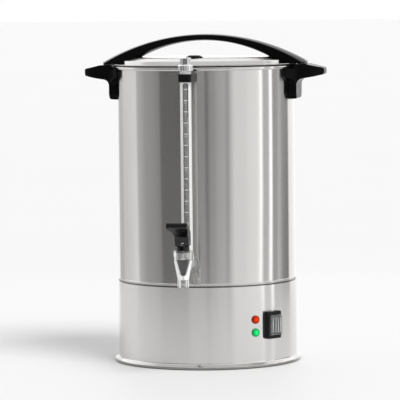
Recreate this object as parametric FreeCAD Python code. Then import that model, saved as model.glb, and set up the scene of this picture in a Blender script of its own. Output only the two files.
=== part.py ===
"""Coffee urn of about twelve litres, with a lift-off lid, a sight gauge and a lever tap.

Millimetres, +Z up. The origin is the middle of the foot ring's lower face, on the tank's axis.
The tap faces -Y, the side handles lie along X and the power inlet is at the back, on +Y.
"""

import FreeCAD, Part
import math
import os

from FreeCAD import Vector

# Tank and base
TANK_RADIUS = 125.0          # outside of the tank wall
SHEET = 0.8                  # thickness of the steel sheet
SEAM_HEIGHT = 116.0          # joint between the tank wall and the base skirt
SEAM_GAP = 1.4
RIM_TOP = 417.0              # top of the tank's rolled rim
RIM_RADIUS = 129.3
RIM_HEIGHT = 4.9
FLOOR_HEIGHT = 120.0         # underside of the tank floor
WELL_RADIUS = 36.0
WELL_DEPTH = 8.0
SKIRT_RADIUS = 126.0
FOOT_RADIUS = 131.3
FOOT_LIFT = 1.0              # the steel foot stands this far off the table
FOOT_RING = (117.0, 129.4)   # inner and outer radius of the rubber ring
COVER_HEIGHT = 7.0           # underside of the base cover

# Lid
LID_FLANGE_RADIUS = 131.2
LID_FLANGE_TOP = 419.5
LID_SHEET = 0.9
LID_TOP = 428.7
LID_SHOULDER_RADIUS = 100.0   # where the flat top starts to fall
LID_SHOULDER_ROUNDING = 30.0
LID_BROW = (116.8, 424.2, 1.8)   # radius, height and rounding where it turns down to the flange
LID_STEP_RADIUS = 118.4
LID_HEM = 0.3                # by which the flange's edge is thicker underneath
LID_SKIRT_RADIUS = 121.6     # locating skirt inside the tank's mouth
LID_SKIRT_DEPTH = 8.0
VENT_DISTANCE = 88.0         # steam vent, from the axis towards the tap
VENT_RADIUS = 12.0
VENT_HEIGHT = 3.9

# Arched lid handle
ARCH_CREST = 461.1
ARCH_TOP_RADIUS = 295.0      # the crest line's circle, seen from the front
ARCH_CROWN = 1.6             # how far the top swells above its long edges
ARCH_UNDER_APEX = 451.4
ARCH_UNDER_RADIUS = 195.0
ARCH_BELLY = 1.6             # how far the underside swells below its long edges
ARCH_HALF_LENGTH = 145.5
ARCH_HALF_WIDTH = 16.0       # at the crest
ARCH_FOOT_HALF_WIDTH = 26.5
ARCH_SCREW_X = 96.0
ARCH_SCREW_GAP = 0.35        # under the flat of the lid, so that the heads clear its fall
ARCH_SCREW_Y = 9.0

# Side handles, with x as the distance out from the tank's axis
HANDLE_TIP = 170.9
HANDLE_LEG_FACE = 133.4
HANDLE_LEG_HALF_WIDTH = 27.0
HANDLE_WALL_HALF_WIDTH = 28.0
HANDLE_TOP_HALF_WIDTH = 42.0    # of the saddle under the tank's rim
HANDLE_BOTTOM = 368.2
HANDLE_BLOCK_TOP = 418.1
HANDLE_SCREW_HEIGHT = 388.0
HANDLE_SCREW_Y = 15.0
HANDLE_SCREW_RADIUS = 2.4

# Sight gauge
GAUGE_Y = -159.5
GAUGE_GLASS = (3.6, 5.0)     # inner and outer radius
GAUGE_GLASS_HEIGHTS = (157.0, 418.0)
GAUGE_SHIELD = (6.2, 7.7)
GAUGE_SHIELD_HEIGHTS = (167.0, 416.0)
GAUGE_TURN = 8.0             # the window and the marks look this far to the right of the tap
WINDOW_WIDTH = 7.6           # of the long window in the shield
WINDOW_HEIGHTS = (176.0, 396.6)
SCALE_RADII = (5.4, 5.7)
SCALE_HALF_ANGLE = 34.0
SCALE_HEIGHTS = (170.0, 397.0)
CLIP_HEIGHTS = (397.6, 408.6)
CLIP_HALF_WIDTH = 9.3
CLIP_FRONT = -169.2
CLIP_SCREW_HEIGHT = 404.0
CAP_COLLAR_RADIUS = 10.4
CAP_HEAD_RADIUS = 7.7
CAP_HEIGHTS = (412.6, 420.6, 430.7)          # collar, head, top

# Tap
TAP_Y = -193.0
SHANK_HEIGHT = 148.0
SHANK_RADIUS = 7.5
SHANK_BORE = 4.5
SHANK_FLANGE_RADIUS = 11.0
SHANK_END_Y = -183.0
OUTLET_RADIUS = 7.8
OUTLET_BORE = 4.2
OUTLET_HEIGHTS = (121.5, 132.0)
CONE_TOP = 162.0
CONE_TOP_RADIUS = 13.0
COLLAR_TOP = 171.4
COLLAR_RADIUS = 13.6
CHAMBER_RADIUS = 10.3
BONNET_RADIUS = 8.8
BONNET_TOP = 178.0
SPIGOT_DEPTH = 2.4
STEM_RADIUS = 1.2
PIN_HEIGHT = 181.6
PIN_RADIUS = 1.5
LEVER_GAP = 0.35             # between the lever's cam feet and the bonnet
LEVER_SLOT = 5.0             # width of the lever's fork
CUP_TIP = 137.6
CUP_TOP = 160.0
SPRING_WIRE = 0.35           # radius of the wire
SPRING_RADIUS = 2.6          # to the middle of the wire
SPRING_TURNS = 4.5
SPRING_HEIGHTS = (161.0, 168.6)

# Lamps, switch and inlet on the base, with bearings counter-clockwise from +X
LAMP_BEARING = -48.75
LAMP_HEIGHTS = (67.0, 49.0)  # red above green
LAMP_RADIUS = 5.8
LAMP_HOLE = 5.1
SWITCH_BEARING = -35.5
SWITCH_HEIGHT = 58.0
SWITCH_HALF = (13.1, 19.1)   # half width and half height of the frame
SWITCH_PROUD = 6.0
SWITCH_WINDOW = (11.7, 14.6)
SWITCH_CUTOUT = (10.8, 14.2)
ROCKER_PIVOT = 128.5         # from the tank's axis
ROCKER_TILT = 9.0            # at rest, lower half pressed in
ROCKER_HALF_WIDTH = 9.8
ROCKER_PIN_END = 12.2
SPLASH_CAP_BASE = 4.0        # above the skirt
SPLASH_CAP_FRONT = 10.9
INLET_HEIGHT = 36.0
INLET_BEARING = 90.0

# Percolator
PUMP_TUBE = (4.5, 5.5)
PUMP_TOP = 400.0
PUMP_BELL_RADIUS = 30.0
PUMP_COLLAR_HEIGHT = 292.0
BASKET_RADIUS = 80.0
BASKET_BOTTOM = 296.0
BASKET_TOP = 372.0

# Heater under the floor
HEATER_RING_RADIUS = 58.0
HEATER_TUBE_RADIUS = 4.0
STUD_DISTANCE = 46.5         # of the clamps' studs from the axis
STUD_BEARINGS = (60.0, 180.0, 300.0)

TAP_SIDE = -90.0             # bearing of the tap
BIG = 400.0                  # larger than anything it cuts


# Planes that outlines are drawn in

def in_xz(u, v):
    return Vector(u, 0, v)


def in_yz(u, v):
    return Vector(0, u, v)


def in_xy(u, v):
    return Vector(u, v, 0)


# Solids from outlines

def outline(corners, plane):
    """Closed wire through corners of (u, v) or (u, v, rounding radius)."""
    points = [plane(c[0], c[1]) for c in corners]
    radii = [c[2] if len(c) > 2 else 0.0 for c in corners]
    count = len(corners)
    starts, ends, middles = [], [], []
    for i, point in enumerate(points):
        before = (points[i - 1] - point).normalize()
        after = (points[(i + 1) % count] - point).normalize()
        half_turn = before.getAngle(after) / 2
        reach = radii[i] / math.tan(half_turn)
        bisector = before + after
        starts.append(point + before * reach)
        ends.append(point + after * reach)
        if radii[i]:
            depth = radii[i] / math.sin(half_turn) - radii[i]
            middles.append(point + bisector.normalize() * depth)
        else:
            middles.append(None)
    edges = []
    for i in range(count):
        if middles[i] is not None:
            edges.append(Part.Arc(starts[i], middles[i], ends[i]).toShape())
        following = starts[(i + 1) % count]
        if ends[i].distanceToPoint(following) > 1e-6:
            edges.append(Part.LineSegment(ends[i], following).toShape())
    return Part.Wire(edges)


def turned(corners):
    """Solid of revolution about Z from corners of (radius, height)."""
    face = Part.Face(outline(corners, in_xz))
    return face.revolve(Vector(0, 0, 0), Vector(0, 0, 1), 360)


def pushed(corners, plane, start, reach):
    """Prism: the outline in its plane, moved by start, pushed along reach."""
    wire = outline(corners, plane)
    wire.translate(start)
    return Part.Face(wire).extrude(reach)


def ring(inner, outer, bottom, top):
    """Plain ring about Z."""
    return turned([(inner, bottom), (outer, bottom), (outer, top), (inner, top)])


def rod(start, end, radius):
    """Round rod between two points."""
    along = end - start
    return Part.makeCylinder(radius, along.Length, start, along)


def block(low, high):
    """Box between two corners."""
    size = high - low
    return Part.makeBox(size.x, size.y, size.z, low)


def hexagon(across_flats, bottom, top):
    """Six-sided prism about Z."""
    corner = across_flats / math.sqrt(3)
    turns = [math.radians(60 * i) for i in range(6)]
    corners = [(corner * math.cos(t), corner * math.sin(t)) for t in turns]
    return pushed(corners, in_xy, Vector(0, 0, bottom), Vector(0, 0, top - bottom))


def slot_prism(length, width, bottom, top):
    """Upright prism with round ends, along X."""
    half, radius = length / 2, width / 2
    corners = [(-half, -radius, radius * 0.999), (half, -radius, radius * 0.999),
               (half, radius, radius * 0.999), (-half, radius, radius * 0.999)]
    return pushed(corners, in_xy, Vector(0, 0, bottom), Vector(0, 0, top - bottom))


# Placing and joining

def moved(shape, x=0.0, y=0.0, z=0.0):
    copy = shape.copy()
    copy.translate(Vector(x, y, z))
    return copy


def spun(shape, bearing):
    """Copy turned about the urn's axis."""
    copy = shape.copy()
    copy.rotate(Vector(0, 0, 0), Vector(0, 0, 1), bearing)
    return copy


def laid_out(shape, x, y=0.0, z=0.0):
    """Copy of a shape made along +Z, laid along +X with its foot at the point."""
    copy = shape.copy()
    copy.rotate(Vector(0, 0, 0), Vector(0, 1, 0), 90)
    copy.translate(Vector(x, y, z))
    return copy


def joined(shapes):
    first = shapes[0]
    return first.fuse(list(shapes[1:])).removeSplitter()


def less(shape, *tools):
    return shape.cut(list(tools))


def around(shape, bearings):
    """The same shape at each bearing about the urn's axis."""
    return [spun(shape, bearing) for bearing in bearings]


def evenly(count, first=0.0):
    return [first + 360.0 * i / count for i in range(count)]


def group(shapes):
    return Part.makeCompound(shapes)


def rounded(shape, radius, wanted):
    """Round off the edges for which wanted(edge) holds."""
    edges = [edge for edge in shape.Edges if wanted(edge)]
    return shape.makeFillet(radius, edges)


# Fasteners, made with the head's seat at zero and the shank towards +Z

def pan_screw(radius, length, head_radius, head_height):
    head = turned([(0, -head_height), (head_radius * 0.6, -head_height, 0.5),
                   (head_radius, -head_height * 0.35, 0.4), (head_radius, 0), (0, 0)])
    shank = turned([(0, 0), (radius, 0), (radius, length - 0.6), (radius - 0.6, length), (0, length)])
    arm, cut = head_radius * 0.55, -head_height * 0.45
    cross = [block(Vector(-arm, -0.4, -BIG), Vector(arm, 0.4, cut)),
             block(Vector(-0.4, -arm, -BIG), Vector(0.4, arm, cut))]
    return less(joined([head, shank]), *cross)


# Tank and base

def handle_screw_places():
    return [(side, y) for side in (0.0, 180.0) for y in (-HANDLE_SCREW_Y, HANDLE_SCREW_Y)]


def wall_holes():
    """Everything that passes through the tank wall."""
    holes = []
    for side, y in handle_screw_places():
        start = Vector(TANK_RADIUS - 20, y, HANDLE_SCREW_HEIGHT)
        holes.append(spun(rod(start, start + Vector(40, 0, 0), HANDLE_SCREW_RADIUS + 0.2), side))
    tap = rod(Vector(0, 0, SHANK_HEIGHT), Vector(0, -BIG, SHANK_HEIGHT), SHANK_RADIUS + 0.3)
    clip = rod(Vector(0, 0, CLIP_SCREW_HEIGHT), Vector(0, -BIG, CLIP_SCREW_HEIGHT), 2.2)
    return holes + [tap, clip]


def make_tank_shell():
    inner = TANK_RADIUS - SHEET
    bottom = SEAM_HEIGHT + SEAM_GAP / 2
    wall = turned([
        (inner, bottom),
        (TANK_RADIUS + 0.5, bottom, 0.4),
        (TANK_RADIUS + 0.5, bottom + 1.6, 0.4),
        (TANK_RADIUS, bottom + 2.4),
        (TANK_RADIUS, RIM_TOP - RIM_HEIGHT, 0.4),
        (RIM_RADIUS, RIM_TOP - RIM_HEIGHT, 2.0),
        (RIM_RADIUS, RIM_TOP, 2.0),
        (inner, RIM_TOP, 1.2),
    ])
    return less(wall, *wall_holes())


def make_tank_floor():
    """Dished floor with a well for the pump and a flange that runs down inside the seam."""
    top = FLOOR_HEIGHT + SHEET
    flange_outer = TANK_RADIUS - SHEET
    flange_inner = flange_outer - SHEET
    flange_bottom = SEAM_HEIGHT - 10.0
    well_top = top - WELL_DEPTH
    return turned([
        (0, well_top - SHEET),
        (WELL_RADIUS - 4.0, well_top - SHEET, 2.0),
        (WELL_RADIUS, FLOOR_HEIGHT, 2.0),
        (flange_inner, FLOOR_HEIGHT, 2.0),
        (flange_inner, flange_bottom),
        (flange_outer, flange_bottom),
        (flange_outer, top, 2.8),
        (WELL_RADIUS + 0.3, top, 1.2),
        (WELL_RADIUS - 3.7, well_top, 2.8),
        (0, well_top),
    ])


def make_base_skirt():
    """Outer wall of the base, with a turned-in top edge and a flared foot."""
    inner = SKIRT_RADIUS - SHEET
    top = SEAM_HEIGHT - SEAM_GAP / 2
    wall = turned([
        (TANK_RADIUS - SHEET + 0.1, top),
        (SKIRT_RADIUS, top, 0.6),
        (SKIRT_RADIUS, 7.2, 2.4),
        (FOOT_RADIUS, 4.2, 1.0),
        (FOOT_RADIUS, FOOT_LIFT),
        (FOOT_RADIUS - SHEET, FOOT_LIFT),
        (FOOT_RADIUS - SHEET, 3.7, 0.3),
        (inner, 6.7, 1.6),
        (inner, top - SHEET),
        (TANK_RADIUS - SHEET + 0.1, top - SHEET),
    ])
    lamps = [spun(rod(Vector(100, 0, height), Vector(150, 0, height), LAMP_HOLE), LAMP_BEARING)
             for height in LAMP_HEIGHTS]
    half_width, half_height = SWITCH_CUTOUT
    switch = spun(block(Vector(100, -half_width, SWITCH_HEIGHT - half_height),
                        Vector(150, half_width, SWITCH_HEIGHT + half_height)), SWITCH_BEARING)
    inlet = spun(block(Vector(100, -14.2, INLET_HEIGHT - 10.7),
                       Vector(150, 14.2, INLET_HEIGHT + 10.7)), INLET_BEARING)
    screws = [spun(rod(Vector(100, y, INLET_HEIGHT), Vector(150, y, INLET_HEIGHT), 1.8), INLET_BEARING)
              for y in (-20, 20)]
    return less(wall, *lamps, switch, inlet, *screws)


COVER_SCREW_RADIUS = 112.0
COVER_SCREW_BEARINGS = evenly(4, 45.0)


def make_base_cover():
    """Bottom plate with vent slots, inside the foot."""
    plate = turned([
        (0, COVER_HEIGHT), (SKIRT_RADIUS - 1.1, COVER_HEIGHT),
        (SKIRT_RADIUS - 1.1, COVER_HEIGHT + 1.0), (0, COVER_HEIGHT + 1.0),
    ])
    slot = moved(slot_prism(22.0, 4.0, 0.0, 20.0), x=58.0)
    screw_hole = rod(Vector(COVER_SCREW_RADIUS, 0, 0), Vector(COVER_SCREW_RADIUS, 0, 20), 1.9)
    return less(plate, *around(slot, evenly(16)), *around(screw_hole, COVER_SCREW_BEARINGS))


def make_cover_brackets():
    """Four angle brackets welded inside the skirt, which the cover is screwed to."""
    face = SKIRT_RADIUS - SHEET
    low = COVER_HEIGHT + 1.0
    corners = [(104.0, low), (BIG, low), (BIG, low + 16.0), (face - 2.0, low + 16.0),
               (face - 2.0, low + 1.6, 1.0), (104.0, low + 1.6)]
    angle = pushed(corners, in_xz, Vector(0, -8, 0), Vector(0, 16, 0))
    inside = Part.makeCylinder(face, BIG)
    hole = rod(Vector(COVER_SCREW_RADIUS, 0, 0), Vector(COVER_SCREW_RADIUS, 0, 20), 1.6)
    return group(around(less(angle.common(inside), hole), COVER_SCREW_BEARINGS))


def make_cover_screws():
    screw = moved(pan_screw(1.55, 7.0, 3.2, 1.9), x=COVER_SCREW_RADIUS, z=COVER_HEIGHT)
    return group(around(screw, COVER_SCREW_BEARINGS))


def make_foot_ring():
    """Rubber ring that the urn stands on, pressed up inside the flared foot."""
    inner, outer = FOOT_RING
    return turned([
        (inner, 0), (outer, 0), (outer, 2.4, 0.6), (SKIRT_RADIUS - 1.4, 5.4, 0.4),
        (SKIRT_RADIUS - 1.4, COVER_HEIGHT), (inner, COVER_HEIGHT),
    ])


# Side handles

def make_side_handle():
    """Handle for the +X side: a leg on the wall, a block under the lid's foot and a grip."""
    wall_gap = TANK_RADIUS + 0.3
    under_rim = RIM_TOP - RIM_HEIGHT - 0.5
    beside_rim = RIM_RADIUS + 0.7
    beside_lid = LID_FLANGE_RADIUS + 1.0
    below_lid = LID_FLANGE_TOP - 4.4

    side = pushed([
        (100, HANDLE_BOTTOM), (HANDLE_LEG_FACE, HANDLE_BOTTOM + 1.5, 3.0),
        (HANDLE_LEG_FACE, 396.6, 9.0), (157, 400.4, 30.0), (HANDLE_TIP, 403.4, 3.8),
        (HANDLE_TIP, 412.6, 3.6), (157, 415.5, 40.0), (146.0, HANDLE_BLOCK_TOP, 6.0),
        (100, HANDLE_BLOCK_TOP),
    ], in_xz, Vector(0, -60, 0), Vector(0, 120, 0))

    top, wall, leg = HANDLE_TOP_HALF_WIDTH, HANDLE_WALL_HALF_WIDTH, HANDLE_LEG_HALF_WIDTH
    front = pushed([
        (-wall + 7, HANDLE_BOTTOM, 8.0), (wall - 7, HANDLE_BOTTOM, 8.0), (wall, HANDLE_BOTTOM + 9, 6.0),
        (wall, 394, 8.0), (top, 402, 5.0), (top, under_rim, 1.5), (wall, under_rim, 0.5),
        (wall, BIG + 50), (-wall, BIG + 50), (-wall, under_rim, 0.5), (-top, under_rim, 1.5),
        (-top, 402, 5.0), (-wall, 394, 8.0), (-wall, HANDLE_BOTTOM + 9, 6.0),
    ], in_yz, Vector(100, 0, 0), Vector(100, 0, 0))
    plan = pushed([
        (100, -top), (119, -top, 3.0), (HANDLE_LEG_FACE, -leg, 8.0), (156, -leg - 1, 30.0),
        (HANDLE_TIP + 0.6, -16, 12.0), (HANDLE_TIP + 0.6, 16, 12.0), (156, leg + 1, 30.0),
        (HANDLE_LEG_FACE, leg, 8.0), (119, top, 3.0), (100, top),
    ], in_xy, Vector(0, 0, 300), Vector(0, 0, 200))
    handle = side.common([front]).common([plan])

    seat = turned([
        (0, 300), (wall_gap, 300), (wall_gap, under_rim), (beside_rim, under_rim),
        (beside_rim, below_lid), (beside_lid, below_lid), (beside_lid, 500), (0, 500),
    ])
    screws = [rod(Vector(100, y, HANDLE_SCREW_HEIGHT), Vector(TANK_RADIUS + 7.4, y, HANDLE_SCREW_HEIGHT),
                  HANDLE_SCREW_RADIUS + 0.03) for y in (-HANDLE_SCREW_Y, HANDLE_SCREW_Y)]
    return less(handle, seat, *screws)


def make_handle_screws():
    """Screws put in from inside the tank, through a washer and the wall."""
    screws = []
    for side, y in handle_screw_places():
        seat = math.sqrt((TANK_RADIUS - SHEET) ** 2 - (y + math.copysign(5.2, y)) ** 2) - 2.2
        screw = laid_out(pan_screw(HANDLE_SCREW_RADIUS, TANK_RADIUS + 7.0 - seat, 4.4, 2.4),
                         seat, y, HANDLE_SCREW_HEIGHT)
        screws.append(spun(screw, side))
    return group(screws)


def make_handle_washers():
    """Sealing washers, shaped on one side to the tank wall."""
    washers = []
    inside = Part.makeCylinder(TANK_RADIUS - SHEET, BIG)
    for side, y in handle_screw_places():
        seat = math.sqrt((TANK_RADIUS - SHEET) ** 2 - (y + math.copysign(5.2, y)) ** 2) - 2.2
        washer = laid_out(ring(HANDLE_SCREW_RADIUS + 0.1, 5.2, 0, 8), seat, y, HANDLE_SCREW_HEIGHT)
        washers.append(spun(washer.common(inside), side))
    return group(washers)


# Lid

def lid_sheet_corners(lift):
    """The lid's upper surface from the axis outwards, raised by lift."""
    return [
        (0, LID_TOP + lift),
        (LID_SHOULDER_RADIUS + lift, LID_TOP + lift, LID_SHOULDER_ROUNDING),
        (LID_BROW[0] + lift, LID_BROW[1] + lift, LID_BROW[2]),
        (LID_STEP_RADIUS + lift, LID_FLANGE_TOP + 0.1, 0.7),
    ]


def under_side(corners, thickness):
    """The corners between the first and the last, moved to the other side of a sheet of the thickness."""
    moved_corners = []
    for before, here, after in zip(corners, corners[1:], corners[2:]):
        first = Vector(here[0] - before[0], here[1] - before[1], 0).normalize()
        second = Vector(after[0] - here[0], after[1] - here[1], 0).normalize()
        across = Vector(first.y + second.y, -first.x - second.x, 0)
        shift = across * (thickness / (1 + first.dot(second)))
        bend = math.copysign(thickness, first.cross(second).z)
        moved_corners.append((here[0] + shift.x, here[1] + shift.y, here[2] + bend))
    return moved_corners


def arch_screw_places():
    return [(x, y) for x in (-ARCH_SCREW_X, ARCH_SCREW_X) for y in (-ARCH_SCREW_Y, ARCH_SCREW_Y)]


def make_lid_pan():
    """Pressed steel lid: raised top, hemmed flange and a locating skirt."""
    under = LID_FLANGE_TOP - LID_SHEET
    hem_inner = LID_FLANGE_RADIUS - 2.5
    upper = [
        (0, LID_TOP),
        (LID_SHOULDER_RADIUS, LID_TOP, LID_SHOULDER_ROUNDING),
        LID_BROW,
        (LID_STEP_RADIUS, LID_FLANGE_TOP, 0.8),
        (LID_FLANGE_RADIUS, LID_FLANGE_TOP, 0.55),
    ]
    pan = turned(upper + [
        (LID_FLANGE_RADIUS, under - LID_HEM, 0.55),
        (hem_inner, under - LID_HEM),
        (hem_inner - LID_HEM, under),
        (LID_SKIRT_RADIUS, under),
        (LID_SKIRT_RADIUS, RIM_TOP - LID_SKIRT_DEPTH, 0.3),
        (LID_SKIRT_RADIUS - LID_SHEET, RIM_TOP - LID_SKIRT_DEPTH, 0.3),
        (LID_SKIRT_RADIUS - LID_SHEET, under),
        *reversed(under_side(upper, LID_SHEET)),
        (0, LID_TOP - LID_SHEET),
    ])
    screw_holes = [rod(Vector(x, y, 410), Vector(x, y, 440), 2.2) for x, y in arch_screw_places()]
    vent = rod(Vector(0, -VENT_DISTANCE, 410), Vector(0, -VENT_DISTANCE, 440), 4.1)
    return less(pan, *screw_holes, vent)


def make_lid_seal():
    """Silicone ring between the lid's flange and the tank's rim, with a lip inside the wall."""
    top = LID_FLANGE_TOP - LID_SHEET
    inner = LID_SKIRT_RADIUS + 0.3
    return turned([
        (inner, RIM_TOP - 7.0, 0.4), (TANK_RADIUS - SHEET - 0.4, RIM_TOP - 7.0, 0.4),
        (TANK_RADIUS - SHEET - 0.4, RIM_TOP), (RIM_RADIUS - 1.2, RIM_TOP, 0.3),
        (RIM_RADIUS - 1.2, top, 0.3), (inner, top),
    ])


def swept_about_y(radius, swell, half_width, centre):
    """Solid of revolution about the cross axis at a height, its rim curved across the width.

    The rim's radius is the given one in the middle and less by swell at the half width.
    """
    edge = radius - swell
    corners = [Vector(edge, -half_width, centre), Vector(edge, half_width, centre),
               Vector(0, half_width, centre), Vector(0, -half_width, centre)]
    section = Part.Wire([
        Part.Arc(corners[0], Vector(radius, 0, centre), corners[1]).toShape(),
        Part.LineSegment(corners[1], corners[2]).toShape(),
        Part.LineSegment(corners[2], corners[3]).toShape(),
        Part.LineSegment(corners[3], corners[0]).toShape(),
    ])
    return Part.Face(section).revolve(Vector(0, 0, centre), Vector(0, 1, 0), 360)


def arch_plan():
    """The arch seen from above: waisted sides and rounded ends."""
    end, waist, foot = ARCH_HALF_LENGTH, ARCH_HALF_WIDTH, ARCH_FOOT_HALF_WIDTH
    corner = end - 4.5
    sides = [Part.Arc(Vector(-corner * s, -foot * s, 400), Vector(0, -waist * s, 400),
                      Vector(corner * s, -foot * s, 400)).toShape() for s in (1, -1)]
    ends = [Part.Arc(Vector(corner * s, -foot * s, 400), Vector(end * s, 0, 400),
                     Vector(corner * s, foot * s, 400)).toShape() for s in (1, -1)]
    return Part.Face(Part.Wire([sides[0], ends[0], sides[1], ends[1]])).extrude(Vector(0, 0, 100))


def make_arch_handle():
    """One-piece arch over the lid: an oval bow with a solid foot at each end."""
    reach = ARCH_FOOT_HALF_WIDTH + 2
    widening = (reach / ARCH_HALF_WIDTH) ** 2
    top = swept_about_y(ARCH_TOP_RADIUS, ARCH_CROWN * widening, reach, ARCH_CREST - ARCH_TOP_RADIUS)
    under_centre = ARCH_UNDER_APEX - ARCH_UNDER_RADIUS
    hollow = swept_about_y(ARCH_UNDER_RADIUS, -ARCH_BELLY * widening, reach, under_centre)
    end, foot_bottom = ARCH_HALF_LENGTH, HANDLE_BLOCK_TOP + 0.6
    nose = pushed([
        (-end - 1, 400), (end + 1, 400), (end + 1, foot_bottom + 1.4, 2.0), (end - 6, 427.0, 6.0),
        (0, 500), (6 - end, 427.0, 6.0), (-end - 1, foot_bottom + 1.4, 2.0),
    ], in_xz, Vector(0, -60, 0), Vector(0, 120, 0))
    lid_room = turned(lid_sheet_corners(0.05) + [
        (LID_FLANGE_RADIUS + 0.6, LID_FLANGE_TOP + 0.1), (LID_FLANGE_RADIUS + 0.6, foot_bottom),
        (160, foot_bottom), (160, 300), (0, 300),
    ])
    arch = less(top.common(arch_plan()).common(nose), hollow, lid_room)
    long_edges = [e for e in arch.Edges if e.Length > 150 and abs(e.CenterOfMass.y) > 5]
    arch = arch.makeFillet(1.3, long_edges)
    screws = [rod(Vector(x, y, 400), Vector(x, y, LID_TOP + 7.4), 2.03) for x, y in arch_screw_places()]
    return less(arch, *screws)


def make_arch_screws():
    screw = pan_screw(2.0, LID_SHEET + 7.0, 3.9, 2.2)
    seat = LID_TOP - LID_SHEET - ARCH_SCREW_GAP
    return group([moved(screw, x, y, seat) for x, y in arch_screw_places()])


def make_steam_vent():
    """Low dome over the vent hole, with a hollow stem through the lid."""
    dome = turned([
        (0, LID_TOP), (VENT_RADIUS, LID_TOP), (VENT_RADIUS, LID_TOP + 1.2, 0.6),
        (VENT_RADIUS - 4.5, LID_TOP + VENT_HEIGHT, 6.0), (0, LID_TOP + VENT_HEIGHT),
    ])
    stem = turned([(0, LID_TOP - 8.0), (4.0, LID_TOP - 8.0), (4.0, LID_TOP + 1), (0, LID_TOP + 1)])
    bore = rod(Vector(0, 0, LID_TOP - 20), Vector(0, 0, LID_TOP + 2.2), 2.2)
    outlets = around(rod(Vector(0, 0, LID_TOP + 1.2), Vector(30, 0, LID_TOP + 1.2), 0.7), evenly(6, 30.0))
    return moved(less(joined([dome, stem]), bore, *outlets), y=-VENT_DISTANCE)


def make_vent_nut():
    nut = less(hexagon(13.0, LID_TOP - 5.0, LID_TOP - LID_SHEET), Part.makeCylinder(4.03, BIG * 2))
    return moved(nut, y=-VENT_DISTANCE)


# Sight gauge

def at_gauge(shape):
    return moved(shape, y=GAUGE_Y)


def make_gauge_tube():
    inner, outer = GAUGE_GLASS
    return at_gauge(ring(inner, outer, *GAUGE_GLASS_HEIGHTS))


def make_gauge_shield():
    """Sleeve round the glass, with a long window that shows the marks."""
    inner, outer = GAUGE_SHIELD
    low, high = WINDOW_HEIGHTS
    window = slot_prism(high - low, WINDOW_WIDTH, 0, 2 * outer)
    window.rotate(Vector(0, 0, 0), Vector(0, 1, 0), 90)
    window = spun(moved(window, z=(low + high) / 2), TAP_SIDE + GAUGE_TURN)
    return at_gauge(less(ring(inner, outer, *GAUGE_SHIELD_HEIGHTS), window))


def make_gauge_scale():
    """Curved strip that carries the marks, in front of the glass."""
    bottom, top = SCALE_HEIGHTS
    strip = ring(*SCALE_RADII, bottom, top)
    left = math.radians(TAP_SIDE + GAUGE_TURN - SCALE_HALF_ANGLE)
    right = math.radians(TAP_SIDE + GAUGE_TURN + SCALE_HALF_ANGLE)
    wedge = pushed([(0, 0), (20 * math.cos(left), 20 * math.sin(left)),
                    (20 * math.cos(right), 20 * math.sin(right))],
                   in_xy, Vector(0, 0, bottom), Vector(0, 0, top - bottom))
    return at_gauge(strip.common(wedge))


def make_gauge_seal():
    """Bushing that seals the foot of the glass in the shank's socket."""
    return at_gauge(ring(GAUGE_GLASS[1] + 0.02, 7.4, 157.0, 163.0))


def make_gauge_clip():
    """Block that holds the gauge's top off the tank wall."""
    low, high = CLIP_HEIGHTS
    half = CLIP_HALF_WIDTH
    body = pushed([(-half, CLIP_FRONT, 4.2), (half, CLIP_FRONT, 4.2), (half, -100), (-half, -100)],
                  in_xy, Vector(0, 0, low), Vector(0, 0, high - low))
    wall = Part.makeCylinder(TANK_RADIUS + 0.05, BIG * 2)
    passage = at_gauge(Part.makeCylinder(GAUGE_SHIELD[1] + 0.03, BIG * 2))
    hollow = block(Vector(-half + 2, -149.5, 0), Vector(half - 2, -134, high - 2))
    screw = rod(Vector(0, 0, CLIP_SCREW_HEIGHT), Vector(0, -132.0, CLIP_SCREW_HEIGHT), 1.83)
    return less(body, wall, passage, hollow, screw)


def make_clip_screw():
    """Screw put in from inside the tank into the clip."""
    screw = pan_screw(1.8, 9.6, 3.6, 2.0)
    screw.rotate(Vector(0, 0, 0), Vector(1, 0, 0), 90)
    return moved(screw, y=-(TANK_RADIUS - SHEET - 2.3), z=CLIP_SCREW_HEIGHT)


def make_clip_washer():
    washer = ring(1.9, 4.4, 0, 6)
    washer.rotate(Vector(0, 0, 0), Vector(1, 0, 0), 90)
    washer = moved(washer, y=-(TANK_RADIUS - SHEET - 2.3), z=CLIP_SCREW_HEIGHT)
    return washer.common(Part.makeCylinder(TANK_RADIUS - SHEET, BIG * 2))


def make_gauge_cap():
    """Cap over the shield and the glass: fluted collar and a faceted head with a breather."""
    collar, head, top = CAP_HEIGHTS
    body = turned([
        (0, collar), (CAP_COLLAR_RADIUS, collar, 0.8), (CAP_COLLAR_RADIUS, head, 1.4),
        (CAP_HEAD_RADIUS, head + 0.6, 0.3), (CAP_HEAD_RADIUS, top, 1.2), (0, top),
    ])
    flute_x = CAP_COLLAR_RADIUS + 0.5
    flute = rod(Vector(flute_x, 0, collar + 0.9), Vector(flute_x, 0, head - 1.2), 1.0)
    facet = block(Vector(CAP_HEAD_RADIUS - 0.45, -5, head + 1.6), Vector(BIG, 5, top - 0.8))
    room = turned([
        (0, collar - 1), (GAUGE_SHIELD[1] + 0.05, collar - 1), (GAUGE_SHIELD[1] + 0.05, 416.2),
        (GAUGE_GLASS[1] + 0.1, 416.2), (GAUGE_GLASS[1] + 0.1, 419.0), (3.4, 420.0),
        (3.4, 424.0), (0, 425.0),
    ])
    breather = rod(Vector(0, 0, 420), Vector(0, 0, 440), 0.8)
    cuts = around(flute, evenly(18)) + around(facet, evenly(8, 11.0))
    return at_gauge(less(body, room, breather, *cuts))


# Tap

def at_tap(shape):
    return moved(shape, y=TAP_Y)


def along_shank(start_y, end_y, radius):
    return rod(Vector(0, start_y, SHANK_HEIGHT), Vector(0, end_y, SHANK_HEIGHT), radius)


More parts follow.
